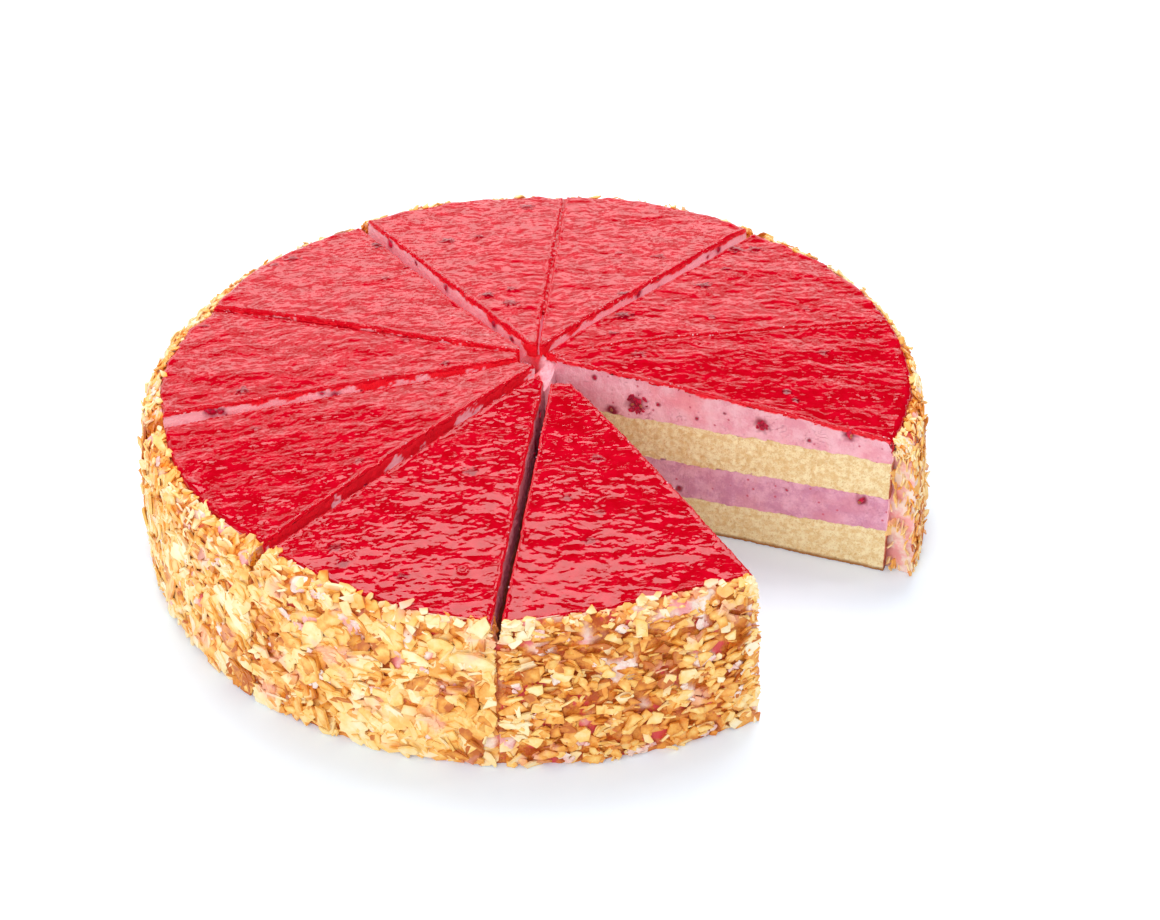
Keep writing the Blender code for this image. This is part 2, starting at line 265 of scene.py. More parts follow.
# Reading the frame: each slice's outline in plan, and how high each of its layers is
outline = {
    "rimRadius": 131.0,  # a point further out than this is on the torte's round side
    "openReach": 8.0,  # a cut with no other slice this far out stands open
    "steps": {"open": 0.45, "kerf": 0.9, "rim": 1.3},
    "stray": {"open": 0.35, "kerf": 0.42, "rim": 0.7},  # how far the knife and the rim wander
    "openCount": 100,  # a slice with fewer points that stand open has them only at its tip
    "cutLook": 20.0,  # a cut's direction at the rim is taken over so much of it
    "sampleStep": 4.0,
    "sampleInset": 3.2,
}


def mergedCopy(node):
    mesh = bmesh.new()
    mesh.from_mesh(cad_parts[node].data)
    bmesh.ops.remove_doubles(mesh, verts=mesh.verts, dist=0.01 * mm)
    return mesh


def outlineOf(node):
    # A level plane through the node leaves its outline, walked here as one ring, counterclockwise, in mm
    low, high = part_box(node)
    mesh = mergedCopy(node)
    bmesh.ops.bisect_plane(
        mesh,
        geom=[*mesh.verts, *mesh.edges, *mesh.faces],
        plane_co=(0, 0, (low[2] + high[2]) / 2),
        plane_no=(0, 0, 1),
        clear_outer=True,
        clear_inner=True,
    )
    first = vert = mesh.verts[:][0]
    edge = vert.link_edges[0]
    ring = []
    while not ring or vert != first:
        ring.append(vert.co.xy / mm)
        vert = edge.other_vert(vert)
        edge = next(other for other in vert.link_edges if other != edge)
    mesh.free()
    ring = np.array(ring)
    following = np.roll(ring, -1, axis=0)
    area = (ring[:, 0] * following[:, 1] - ring[:, 1] * following[:, 0]).sum()
    return ring if area > 0 else ring[::-1]


def insideRing(points, ring):
    # Counts how often a line to the right of each point crosses the ring
    inside = np.zeros(len(points), bool)
    for a, b in zip(ring, np.roll(ring, -1, axis=0)):
        crosses = (a[1] > points[:, 1]) != (b[1] > points[:, 1])
        rise = b[1] - a[1] if b[1] != a[1] else 1.0
        inside ^= crosses & (points[:, 0] < a[0] + (points[:, 1] - a[1]) * (b[0] - a[0]) / rise)
    return inside


def nearestOn(points, starts, ends):
    # The nearest place on any of the segments to each point, and how far off it is
    best = np.full(len(points), np.inf)
    nearest = np.zeros((len(points), 2))
    for a, b in zip(starts, ends):
        along = b - a
        share = np.clip(((points - a) @ along) / max(along @ along, 1e-9), 0, 1)
        on = a + share[:, None] * along
        distance = np.linalg.norm(points - on, axis=1)
        closer = distance < best
        best[closer] = distance[closer]
        nearest[closer] = on[closer]
    return nearest, best


def noiseAt(points, size, level):
    return np.array([noise.noise(Vector((x / size, y / size, level))) for x, y in points])


def valueLayers(mesh, *names):
    # One value at each point, which the materials read by its name
    return [mesh.verts.layers.float.new(name) for name in names]


def terms(points):
    x, y = points[:, 0] / 100, points[:, 1] / 100
    return np.stack([x**i * y**j for i in range(5) for j in range(5 - i)], axis=1)


class Slice:
    # One slice's outline, which parts of it are rim, kerf or open cut, and smooth heights of its layers

    def __init__(self, number):
        self.number = number
        self.coarse = outlineOf(f"slice_{number}_upper_sponge")
        self.middle = self.coarse.mean(axis=0)

    def refine(self, others):
        points, kinds = [], []
        for a, b in zip(self.coarse, np.roll(self.coarse, -1, axis=0)):
            along = b - a
            length = np.linalg.norm(along)
            radii = np.linalg.norm(a), np.linalg.norm(b)
            probe = (a + b) / 2 + np.array((along[1], -along[0])) / length * outline["openReach"]
            kind = "kerf"
            if min(radii) > outline["rimRadius"]:
                kind = "rim"
            elif np.linalg.norm(probe) < 130 and not any(insideRing(probe[None], o.coarse)[0] for o in others):
                kind = "open"
            count = max(1, math.ceil(length / outline["steps"][kind]))
            for step in range(count):
                point = a + along * step / count
                if kind == "rim":
                    point *= (radii[0] + (radii[1] - radii[0]) * step / count) / np.linalg.norm(point)
                points.append(point)
                kinds.append(kind)
        self.kinds = np.array(kinds)
        self.isOpen = (self.kinds == "open").sum() > outline["openCount"]
        self.ring = np.array(points)
        ahead = np.roll(self.ring, -1, axis=0) - np.roll(self.ring, 1, axis=0)
        ahead /= np.linalg.norm(ahead, axis=1)[:, None]
        self.outward = np.stack((ahead[:, 1], -ahead[:, 0]), axis=1)
        for index, (x, y) in enumerate(self.ring):
            long = noise.noise(Vector((x / 9, y / 9, self.number * 7.3)))
            short = noise.noise(Vector((x / 2.2, y / 2.2, self.number * 3.7)))
            self.ring[index] -= self.outward[index] * outline["stray"][self.kinds[index]] * (0.4 + long + 0.6 * short)

    def isOpenAt(self, x, y):
        return self.kinds[np.linalg.norm(self.ring - (x, y), axis=1).argmin()] == "open"

    def segments(self, *kinds):
        chosen = np.isin(self.kinds, kinds)
        return self.ring[chosen], np.roll(self.ring, -1, axis=0)[chosen]

    def fit(self, layer):
        # A smooth height over the plan, through points on the upper side of the CAD node
        mesh = mergedCopy(f"slice_{self.number}_{layer}")
        tree = BVHTree.FromBMesh(mesh)
        mesh.free()
        low, high = self.coarse.min(axis=0), self.coarse.max(axis=0)
        steps = [np.arange(low[i], high[i], outline["sampleStep"]) for i in (0, 1)]
        points = np.stack(np.meshgrid(*steps), axis=-1).reshape(-1, 2)
        _, off = nearestOn(points, self.coarse, np.roll(self.coarse, -1, axis=0))
        points = points[insideRing(points, self.coarse) & (off > outline["sampleInset"])]
        heights = []
        for x, y in points:
            hit = tree.ray_cast(Vector((x * mm, y * mm, 0.2)), Vector((0, 0, -1)))[0]
            heights.append(hit.z / mm if hit else np.nan)
        heights = np.array(heights)
        good = ~np.isnan(heights)
        solved = np.linalg.lstsq(terms(points[good]), heights[good], rcond=None)[0]
        return lambda places: terms(places) @ solved


slices = [Slice(number) for number in range(1, sliceCount + 1)]
for piece in slices:
    piece.refine([other for other in slices if other is not piece])
    for layerName in ("base_sponge", "lower_mousse", "upper_sponge", "glaze"):
        setattr(piece, layerName, piece.fit(layerName))
    print("slice", piece.number, "points", len(piece.ring), "open", int((piece.kinds == "open").sum()))

mottle = mottleGroup()
addCamera()
addLights()
addFloor()
print("camera, light and floor made")

# The glaze: red jelly with small ripples, a rolled rim, thin raised edges along the cuts, bubbles and fruit
glaze = {
    "cell": 0.45,
    "ripples": ((9.0, 0.36), (2.8, 0.16), (1.2, 0.1)),  # size and height in mm
    "narrow": 0.6,  # the ripples are longer from left to right
    "fine": {1: 0.6, 2: 0.6, 3: 0.75, 4: 0.9, 5: 1.0, 6: 1.0, 7: 0.95, 8: 0.75, 9: 0.65},  # share of the finest ones
    "rimLumps": (7.0, 0.8, 4.0),  # size and height of the rim's lumps, and how far in they reach
    "calm": {1: 0.87, 2: 0.87, 3: 0.95, 4: 1.05, 5: 0.85, 6: 1.0, 7: 0.97, 8: 0.94, 9: 0.9},
    "creases": {1: 0.35, 2: 0.35, 3: 0.5, 4: 0.6, 5: 1.0, 6: 0.7, 7: 0.5, 8: 0.45, 9: 0.35},
    "rimRoll": {  # how far in the rim starts to fall, and how far it falls
        1: (2.0, 1.4), 2: (2.0, 1.4), 3: (2.0, 1.5), 4: (2.2, 1.6), 5: (0.8, 0.45),
        6: (0.8, 0.45), 7: (1.6, 1.1), 8: (2.0, 1.5), 9: (2.0, 1.4),
    },
    "lip": (0.26, 0.8, 0.5),  # height of the raised edge along the cuts, how far in it is, half its width
    "edgeDrop": 0.35,
    "edgeWidth": 0.8,  # how far in its colour is lighter
    "fray": 0.5,
    "fruitSwell": 0.3,
    "bubbleHeight": 0.4,
    "smoothing": 3,
    "thickness": 0.95,
    "rimThickness": {1: 3.0, 2: 3.0, 3: 3.0, 4: 5.4, 5: 3.0, 6: 3.0, 7: 3.0, 8: 3.0, 9: 3.0},
    "fruit": (  # x and y in mm, size, how dark
        (34.5, 31.5, 3.0, 0.9), (-59.3, 96.2, 3.4, 1.0), (66.4, 55.4, 3.0, 0.9), (81.2, 84.9, 3.2, 0.8),
        (-21.7, -63.9, 2.6, 0.7), (21.0, -57.9, 2.8, 0.6), (17.3, -100.5, 2.3, 0.6), (88.8, 85.5, 3.0, 0.7),
        (35.1, 46.4, 2.2, 0.8), (106.1, 7.1, 2.2, 0.7), (-103.6, -8.3, 2.6, 0.8), (-92.4, 87.7, 2.6, 0.7),
        (10.1, -78.7, 1.9, 0.6), (-43.6, -114.7, 2.0, 0.7), (20.9, -86.4, 1.8, 0.5), (75.9, 68.8, 1.8, 0.7),
        (-65.7, -99.6, 2.4, 0.7), (-31.0, -0.4, 2.0, 0.7), (-46.8, 75.9, 2.0, 0.6), (90.0, -19.0, 2.0, 1.0),
        (92.7, -24.0, 1.6, 1.0), (50.5, 77.0, 2.2, 0.6), (-62.6, -107.6, 2.2, 0.7), (-59.6, -56.8, 1.8, 0.5),
        (-99.2, 83.4, 1.8, 0.6), (103.7, 38.3, 1.8, 0.5), (-122.5, 39.9, 1.8, 0.7), (-97.1, -31.1, 1.6, 0.5),
        (-31.7, 94.7, 3.0, 0.8), (-16.1, 47.9, 2.6, 0.9), (-7.5, 41.1, 2.8, 0.7), (-0.1, 122.8, 3.0, 0.7),
        (-19.6, 97.1, 1.6, 0.7), (-7.4, 52.1, 1.8, 0.6), (35.0, 80.4, 2.0, 0.5), (-55.2, 66.7, 1.6, 0.6),
        (29.8, 17.9, 2.2, 0.7), (38.4, 2.9, 3.0, 0.5), (67.4, 31.0, 1.8, 0.6), (-46.0, 19.1, 2.2, 0.5),
    ),
    "bubbles": (  # x and y in mm, radius
        (-24.0, -112.5, 1.8), (-71.5, -97.0, 1.0), (-75.0, -92.0, 0.8),
        (-60.0, -104.5, 0.9), (12.0, -47.0, 0.9), (60.0, 12.0, 1.0),
    ),
}


def glazePaint():
    paint, shader = newPaint("raspberry_jelly", 0.05)
    tree = paint.node_tree
    shader.inputs["IOR"].default_value = 1.4
    place = objectPlace(tree)
    shift = spreadValue(tree, addNoise(tree, place, 170.0, 4.0, 0.6), 0.35, 0.65)
    base = mixColours(tree, shift, srgb(208, 2, 24, 1.33), srgb(230, 4, 38, 1.33))
    # Painted shade: the jelly is a darker red in the hollows of its finest ripples
    base = mixColours(tree, readValue(tree, "hollow"), base, srgb(208, 2, 20, 1.33))
    fruited = mixColours(tree, readValue(tree, "fruit"), base, srgb(146, 0, 24, 1.33))
    edged = mixColours(tree, readValue(tree, "edge"), fruited, srgb(246, 14, 38, 1.22))
    tree.links.new(edged, shader.inputs["Base Color"])
    addBump(tree, shader, addNoise(tree, place, 800.0, 1.0, distortion=0.5), 0.00004)
    return paint


def rippleHeight(x, y, number):
    # Rounded waves with short sharp creases between them: in all, and without the broadest
    warp = noise.noise_vector(Vector((x / 14, y / 14, number)))
    x, y = (x + warp.x * 2.4) * glaze["narrow"], y + warp.y * 2.4
    waves = [tall * noise.noise(Vector((x / size, y / size, number * 3.1 + size))) for size, tall in glaze["ripples"]]
    waves[2] *= glaze["fine"][number]
    total = sum(waves) * glaze["calm"][number]
    crease = abs(noise.noise(Vector((x / 4.2, y / 3.4, number * 5.7 + 50))))
    where = noise.noise(Vector((x / 5.5, y / 5.5, number * 2.3 + 80)))
    if crease < 0.1 and where > -0.05:
        total -= glaze["creases"][number] * 0.16 * (1 - crease / 0.1) ** 2 * min(1.0, (where + 0.05) * 5)
    return total, total - waves[0]


def addGlaze(piece, paint):
    number, ring, cell = piece.number, piece.ring, glaze["cell"]
    lowest = ring.min(axis=0) - cell
    steps = np.ceil((ring.max(axis=0) + cell - lowest) / cell).astype(int)
    mesh = bmesh.new()
    bmesh.ops.create_grid(mesh, x_segments=int(steps[0]), y_segments=int(steps[1]), size=0.5)
    for vert in mesh.verts:
        vert.co = (*((np.array(vert.co.xy) + 0.5) * steps * cell + lowest), 0)
    centres = np.array([face.calc_center_median().xy for face in mesh.faces])
    keep = insideRing(centres, ring)
    bmesh.ops.delete(mesh, geom=[face for face, kept in zip(mesh.faces, keep) if not kept], context="FACES")
    edge = [vert for vert in mesh.verts if vert.is_boundary]
    snapped, _ = nearestOn(np.array([vert.co.xy for vert in edge]), ring, np.roll(ring, -1, axis=0))
    for vert, (x, y) in zip(edge, snapped):
        vert.co = (x, y, 0)
    near = {other for vert in edge for link in vert.link_edges for other in link.verts} - set(edge)
    for _ in range(glaze["smoothing"]):
        bmesh.ops.smooth_vert(mesh, verts=list(near), factor=0.5, use_axis_x=True, use_axis_y=True)
    points = np.array([vert.co.xy for vert in mesh.verts])
    heights = piece.glaze(points)
    _, fromCut = nearestOn(points, *piece.segments("open", "kerf"))
    _, fromRim = nearestOn(points, *piece.segments("rim"))
    reach, fall = glaze["rimRoll"][number]
    uneven = noiseAt(points, 5, 3.3)
    reach = reach * (1 + 0.9 * uneven)
    heights -= fall * (1 - np.sqrt(1 - np.clip(1 - fromRim / reach, 0, 1) ** 2))
    lip, lipPlace, lipWidth = glaze["lip"]
    heights += lip * np.clip(0.7 + 2.2 * uneven, 0, 2) * np.exp(-(((fromCut - lipPlace) / lipWidth) ** 2))
    heights -= glaze["edgeDrop"] * np.clip(1 - fromCut / lipWidth, 0, 1) ** 2
    size, tall, wide = glaze["rimLumps"]
    heights += tall * noiseAt(points, size, 6.1) * np.exp(-fromRim / wide)
    frayed = np.clip(1.3 - np.minimum(fromCut, fromRim + 0.3), 0, 1)
    heights += glaze["fray"] * noiseAt(points, 0.8, 8.8) * frayed
    fruit = np.zeros(len(points))
    for x, y, size, dark in glaze["fruit"]:
        away = np.hypot(points[:, 0] - x, (points[:, 1] - y) * 1.25)
        for index in np.nonzero(away < size * 1.6)[0]:
            rough = 1 + 0.9 * noise.noise(Vector((*points[index] / 1.1, x)))
            inside = max(0.0, 1 - (away[index] * rough / size) ** 2)
            fruit[index] = max(fruit[index], min(1.0, inside * 1.8) * dark)
            heights[index] += glaze["fruitSwell"] * inside * rough
    for x, y, size in glaze["bubbles"]:
        away = np.hypot(points[:, 0] - x, points[:, 1] - y)
        ringed = np.exp(-(((away - size * 0.8) / 0.45) ** 2)) * (away < size * 2.2)
        heights += glaze["bubbleHeight"] * ringed
    fruitLayer, edgeLayer, hollowShadeLayer = valueLayers(mesh, "fruit", "edge", "hollow")
    for vert, height, dark, off in zip(mesh.verts, heights, fruit, fromCut):
        calm = min(1.0, max(0.3, off / 1.0))
        ripple, fine = rippleHeight(vert.co.x, vert.co.y, number)
        vert.co.z = height + ripple * calm
        vert[fruitLayer] = dark
        vert[edgeLayer] = max(0.0, 1 - off / glaze["edgeWidth"]) ** 1.5
        # how low the finest ripples lie here, for the painted shade in their hollows
        vert[hollowShadeLayer] = min(1.0, max(0.0, (-fine - 0.03) / 0.1))
    rim = [link for link in mesh.edges if link.is_boundary]
    grown = bmesh.ops.extrude_edge_only(mesh, edges=rim)["geom"]
    foot = [part for part in grown if isinstance(part, bmesh.types.BMVert)]
    _, toRim = nearestOn(np.array([vert.co.xy for vert in foot]), *piece.segments("rim"))
    for vert, off in zip(foot, toRim):
        thin = glaze["thickness"] * (1 + 0.7 * noise.noise(Vector((vert.co.x / 1.6, vert.co.y / 1.6, 1.7))))
        vert.co.z -= glaze["rimThickness"][number] - fall if off < 0.3 else thin
    bmesh.ops.edgeloop_fill(mesh, edges=[link for link in mesh.edges if link.is_boundary])
    bmesh.ops.recalc_face_normals(mesh, faces=mesh.faces)
    finishPiece(f"glaze_{number}", mesh, paint, 60, "glaze", f"slice_{number}_glaze")


jelly = glazePaint()
for piece in slices:
    addGlaze(piece, jelly)
print("glaze made")

# The layers: walls with pores, cracks and fruit; the open faces are finer than those inside the narrow cuts
layers = {
    "rows": {"open": 0.5, "kerf": 0.6, "hidden": 2.0},  # mm from row to row
    "seam": 0.7,  # how uneven the seams between the layers are
    "sponge": {"crumb": 0.34, "pore": 0.35, "poreSizes": (1.4, 2.5), "poreWidth": 0.22},
    "mousse": {"crumb": 0.3, "crack": 0.3},
    "bleed": {  # how far the jelly ran down inside the narrow cuts, near the middle and at the rim
        1: (1.8, 0.9), 2: (1.8, 1.0), 3: (2.0, 1.2), 4: (2.0, 1.2), 5: (1.5, 1.2),
        6: (1.5, 1.2), 7: (6.5, 6.5), 8: (5.0, 0.6), 9: (7.0, 5.0),
    },
    "openBleed": 0.8,
    "tipBleed": (7.0, 18.0),  # how much further down at the tips, and how far out
    "dark": {5: 1.0, 6: 1.0},  # how far below the jelly the walls inside the cuts start to take painted shade
    "darkElse": 5.0,
}
fruitBits = []  # slice, x, y, z and size in mm of each piece of fruit on a wall
halos = []  # the same for the stains round the two raspberries


def spongePaint(name, pale, brown, browned):
    paint, shader = newPaint(name, 0.85)
    tree = paint.node_tree
    colour, grain = addMottle(tree, pale, brown, 420.0, 1700.0)
    place = objectPlace(tree)
    cells = addNode(tree, "ShaderNodeTexVoronoi", values={"Scale": 1200.0}, links={"Vector": place})
    # Painted shade: the fine pores are dots of a darker tan, standing for the shade in the sponge's holes
    pores = scaleValue(tree, spreadValue(tree, cells.outputs["Distance"], 0.34, 0.14), 0.6)
    colour = mixColours(tree, pores, colour, srgb(218, 176, 112))
    # Painted shade in the pits of the wall
    colour = mixColours(tree, readValue(tree, "cavity_shade"), colour, srgb(224, 182, 118))
    # Painted shade deep in the narrow cuts, with the jelly's pink in it
    colour = tintColours(tree, readValue(tree, "inside"), colour, srgb(222, 138, 146))
    if browned:
        height = addNode(tree, "ShaderNodeSeparateXYZ", links={0: place}).outputs[2]
        colour = mixColours(tree, spreadValue(tree, height, 0.0022, 0.0006), colour, srgb(168, 112, 58))
    tree.links.new(colour, shader.inputs["Base Color"])
    addBump(tree, shader, grain, 0.0004, 0.8)
    return paint


def moussePaint(name, pale, deep, blush):
    paint, shader = newPaint(name, 0.6)
    tree = paint.node_tree
    colour, grain = addMottle(tree, pale, deep, 150.0, 1300.0)
    place = objectPlace(tree)
    cloud = scaleValue(tree, spreadValue(tree, addNoise(tree, place, 60.0, 5.0), 0.5, 0.72), 0.6)
    colour = mixColours(tree, cloud, colour, blush)
    flecks = addNode(tree, "ShaderNodeTexVoronoi", values={"Scale": 230.0}, links={"Vector": place})
    colour = mixColours(tree, spreadValue(tree, flecks.outputs["Distance"], 0.16, 0.06), colour, srgb(214, 96, 118))
    # Painted shade in the cracks and pits of the wall
    colour = mixColours(tree, readValue(tree, "cavity_shade"), colour, srgb(206, 128, 144))
    # Painted shade deep in the narrow cuts, with the jelly's pink in it
    colour = mixColours(tree, scaleValue(tree, readValue(tree, "inside"), 0.6), colour, srgb(188, 70, 108))
    lit = readValue(tree, "lit")  # walls just below the jelly, where light comes through the mousse
    colour = mixColours(tree, scaleValue(tree, lit, 0.8), colour, srgb(255, 214, 216))
    glow = mixColours(tree, lit, (0.0, 0.0, 0.0, 1.0), srgb(110, 62, 74))
    tree.links.new(glow, shader.inputs["Emission Color"])
    shader.inputs["Emission Strength"].default_value = 1.0
    colour = mixColours(tree, readValue(tree, "stain"), colour, srgb(146, 14, 50))
    colour = mixColours(tree, readValue(tree, "bleed"), colour, srgb(253, 4, 40))
    tree.links.new(colour, shader.inputs["Base Color"])
    addBump(tree, shader, grain, 0.0006, 0.9)
    return paint


def spongeDepth(x, y, z):
    values = layers["sponge"]
    place = Vector((x, y, z))
    depth = values["crumb"] * (noise.noise(place / 1.6) + 0.6 * noise.noise(place / 0.8))
    hollow = 0.0
    for size in values["poreSizes"]:
        away = noise.voronoi((place + Vector((size * 7, 0, 0))) / size)[0][0]
        hollow = max(hollow, 1 - away / values["poreWidth"])
    return depth + values["pore"] * hollow**0.6, min(1.0, hollow * 1.6)


def mousseDepth(x, y, z):
    values = layers["mousse"]
    place = Vector((x, y, z))
    depth = values["crumb"] * (noise.noise(place / 2.2) + 0.5 * noise.noise(place / 0.9))
    crack = abs(noise.noise(Vector((x / 3.1, y / 3.1, z / 2.4 + 9))))
    where = noise.noise(place / 8 + Vector((0, 0, 31)))
    torn = max(0.0, 1 - crack / 0.06) * max(0.0, min(1.0, where * 4 - 0.2))
    pit = max(0.0, 1 - noise.voronoi(place / 3.2)[0][0] / 0.16)
    return depth + values["crack"] * max(torn, pit), max(torn * 0.9, pit)


def wrapWall(ring, bottoms, tops, rows):
    # A grid is wrapped round the ring and closed at its seam; each point keeps its column
    mesh = bmesh.new()
    count = len(ring)
    bmesh.ops.create_grid(mesh, x_segments=count, y_segments=rows, size=0.5)
    column = mesh.verts.layers.int.new("column")
    for vert in mesh.verts:
        index = round((vert.co.x + 0.5) * count) % count
        share = vert.co.y + 0.5
        vert[column] = index
        vert.co = (ring[index][0], ring[index][1], bottoms[index] + (tops[index] - bottoms[index]) * share)
    bmesh.ops.remove_doubles(mesh, verts=[vert for vert in mesh.verts if vert[column] == 0], dist=0.001)
    return mesh, column


def closeWall(mesh):
    bmesh.ops.edgeloop_fill(mesh, edges=[edge for edge in mesh.edges if edge.is_boundary])
    bmesh.ops.recalc_face_normals(mesh, faces=mesh.faces)


def seamHeight(ring, level):
    return layers["seam"] * (noiseAt(ring, 4, level * 9.1) + 0.5 * noiseAt(ring, 1.3, level * 5.3))


def addLayer(piece, layer, bottoms, tops, paint, depthAt):
    fineness = "open" if piece.isOpen else "kerf" if layer == "upper_mousse" else "hidden"
    rows = math.ceil((tops - bottoms).max() / layers["rows"][fineness])
    mesh, column = wrapWall(piece.ring, bottoms, tops, rows)
    cavity_shade, stain, bleed, inside, lit = valueLayers(mesh, "cavity_shade", "stain", "bleed", "inside", "lit")
    bits = np.array([bit[1:] for bit in fruitBits + halos if bit[0] == piece.number] or [(0, 0, -99, 1)])
    crowns = piece.glaze(piece.ring)
    exposed = (piece.kinds == "open") & piece.isOpen
    tipRun, tipReach = layers["tipBleed"]
    for vert in mesh.verts:
        x, y, z = vert.co
        index = vert[column]
        depth, hollow = depthAt(x, y, z)
        if not exposed[index]:
            # Pits and cracks take painted shade, weaker on walls inside the cuts
            hollow *= 0.6
        vert[cavity_shade] = hollow
        outX, outY = piece.outward[index]
        vert.co.x -= outX * depth
        vert.co.y -= outY * depth
        away = np.sqrt((bits[:, 0] - x) ** 2 + (bits[:, 1] - y) ** 2 + (bits[:, 2] - z) ** 2) / bits[:, 3]
        vert[stain] = max(0.0, min(1.0, (1.8 - away.min()) * 0.9 + 0.6 * noise.noise(vert.co / 1.6)))
        if layer == "upper_mousse":
            near, far = layers["bleed"][piece.number]
            out = math.hypot(x, y)
            run = near + (far - near) * min(1.0, out / 120) + tipRun * max(0.0, 1 - out / tipReach)
            if exposed[index]:
                run = layers["openBleed"]
            run *= 1 + 1.7 * noise.noise(Vector((x, y, 5.0)) / 7) + 0.7 * noise.noise(Vector((x, y, z)) / 1.2)
            vert[bleed] = max(0.0, min(1.0, (z - tops[index] + run) / 0.5))
        # Walls deep inside the cuts take painted shade, more the further below the jelly
        deep = (crowns[index] - z - layers["dark"].get(piece.number, layers["darkElse"])) / 7
        vert[inside] = 0.0 if exposed[index] else min(1.0, max(0.0, deep))
        unlit = exposed[index] or piece.number in layers["dark"]
        vert[lit] = 0.0 if unlit else max(0.0, min(1.0, 1 + deep)) * (1 - vert[bleed])
    closeWall(mesh)
    finishPiece(f"{layer}_{piece.number}", mesh, paint, 70, layer, f"slice_{piece.number}_{layer}")


def openLine():
    # Where the open face of slice 4 starts, near the middle, and its direction outwards
    ring = slices[3].ring[slices[3].kinds == "open"]
    radii = np.linalg.norm(ring, axis=1)
    tip, end = ring[radii.argmin()], ring[radii.argmax()]
    return tip, (end - tip) / np.linalg.norm(end - tip)


wallFruit = {
    "shown": (  # out along the open face of slice 4, height and size in mm
        (15.0, 59.2, 0.9), (38.9, 52.8, 0.7), (21.8, 46.6, 1.9), (109.4, 56.2, 1.8),
        (54.0, 50.4, 0.5), (64.0, 55.0, 0.45), (95.0, 50.5, 0.6),
    ),
    "inCuts": (  # slice, the cut's angle, how far out, how far below the jelly, size
        (8, -170.4, 116.0, 2.6, 2.0), (8, -170.4, 112.0, 3.2, 1.4), (8, -170.4, 76.0, 2.4, 0.8),
        (1, 120.0, 114.0, 3.2, 1.7), (1, 120.0, 69.0, 3.4, 1.5), (1, 120.0, 33.0, 3.2, 1.7), (1, 120.0, 93.0, 2.8, 0.9),
        (2, 48.6, 115.0, 3.0, 1.4), (2, 48.6, 66.0, 2.8, 1.5), (2, 48.6, 108.0, 3.4, 0.8),
    ),
    "more": 18,  # drawn at random on each slice
    "moreSizes": (0.5, 0.8, 1.2, 1.7),
    "moreInUpper": 0.65,  # the share in the upper mousse
}


def scatterFruit():
    draw = random.Random(41)
    tip, along = openLine()
    ring = slices[3].ring
    for out, z, size in wallFruit["shown"]:
        on = ring[np.linalg.norm(ring - tip - along * out, axis=1).argmin()]
        fruitBits.append((4, on[0], on[1], z, size))
    for number, angle, out, below, size in wallFruit["inCuts"]:
        piece = slices[number - 1]
        spot = np.array((math.cos(math.radians(angle)), math.sin(math.radians(angle)))) * out
        on = piece.ring[np.linalg.norm(piece.ring - spot, axis=1).argmin()]
        fruitBits.append((number, on[0], on[1], piece.glaze(on[None])[0] - below, size))
    for _, out, z, wide, *_ in berries["places"]:
        halos.append((4, *(tip + along * out), z, wide * 0.62))
    for piece in slices:
        lower, upper = piece.base_sponge(piece.ring), piece.lower_mousse(piece.ring)
        sponge, top = piece.upper_sponge(piece.ring), piece.glaze(piece.ring)
        cuts = [int(index) for index in np.nonzero(piece.kinds != "rim")[0]]
        for _ in range(wallFruit["more"]):
            index = draw.choice(cuts)
            inUpper = draw.random() < wallFruit["moreInUpper"]
            low, high = (sponge[index], top[index] - 2) if inUpper else (lower[index], upper[index])
            z = draw.uniform(low + 1, high - 1)
            size = draw.choice(wallFruit["moreSizes"]) * draw.uniform(0.8, 1.2)
            if piece.number != 4 or piece.kinds[index] != "open" or not inUpper:
                fruitBits.append((piece.number, *piece.ring[index], z, size))


# The two raspberries that the knife went through
berries = {
    "places": (  # node, how far out along the cut, height, half width, half height, lumps, their spread, seeds
        (1, 31.0, 51.6, 4.3, 4.4, 40, 0.98, 2),
        (2, 78.0, 53.0, 3.2, 3.3, 12, 0.7, 0),
    ),
}
scatterFruit()
paints = {
    "base_sponge": spongePaint("browned_sponge", srgb(253, 234, 186), srgb(236, 202, 142), True),
    "upper_sponge": spongePaint("sponge", srgb(253, 234, 186), srgb(234, 198, 138), False),
    "lower_mousse": moussePaint("mauve_mousse", srgb(240, 176, 196), srgb(214, 140, 168), srgb(226, 140, 156)),
    "upper_mousse": moussePaint("pink_mousse", srgb(252, 192, 202), srgb(240, 158, 174), srgb(246, 138, 146)),
}
for piece in slices:
    ring = piece.ring
    seams = [np.full(len(ring), 0.15)]
    for level, layerName in enumerate(("base_sponge", "lower_mousse", "upper_sponge")):
        seams.append(getattr(piece, layerName)(ring) + seamHeight(ring, level))
    rimmed = piece.kinds == "rim"
    rimThickness = glaze["rimThickness"][piece.number]
    seams.append(piece.glaze(ring) - np.where(rimmed, rimThickness, glaze["thickness"] - 0.3))
    for level, layerName in enumerate(("base_sponge", "lower_mousse", "upper_sponge", "upper_mousse")):
        depthAt = spongeDepth if "sponge" in layerName else mousseDepth
        addLayer(piece, layerName, seams[level], seams[level + 1], paints[layerName], depthAt)
print("layers made")

# Fruit on the walls, pale crumbs of mousse beside the cuts, which also stand in for the jelly's glints there as painted
# highlights, and the two raspberries
crumbs = {"perSlice": 20, "sizes": (0.12, 0.32)}


def fruitPaint(name, pale, dark, patch, fine, specular, bump):
    paint, shader = newPaint(name, 0.4)
    shader.inputs["Specular IOR Level"].default_value = specular
    tree = paint.node_tree
    colour, grain = addMottle(tree, pale, dark, patch, fine)
    tree.links.new(colour, shader.inputs["Base Color"])
    addBump(tree, shader, grain, bump, 0.7)
    return paint


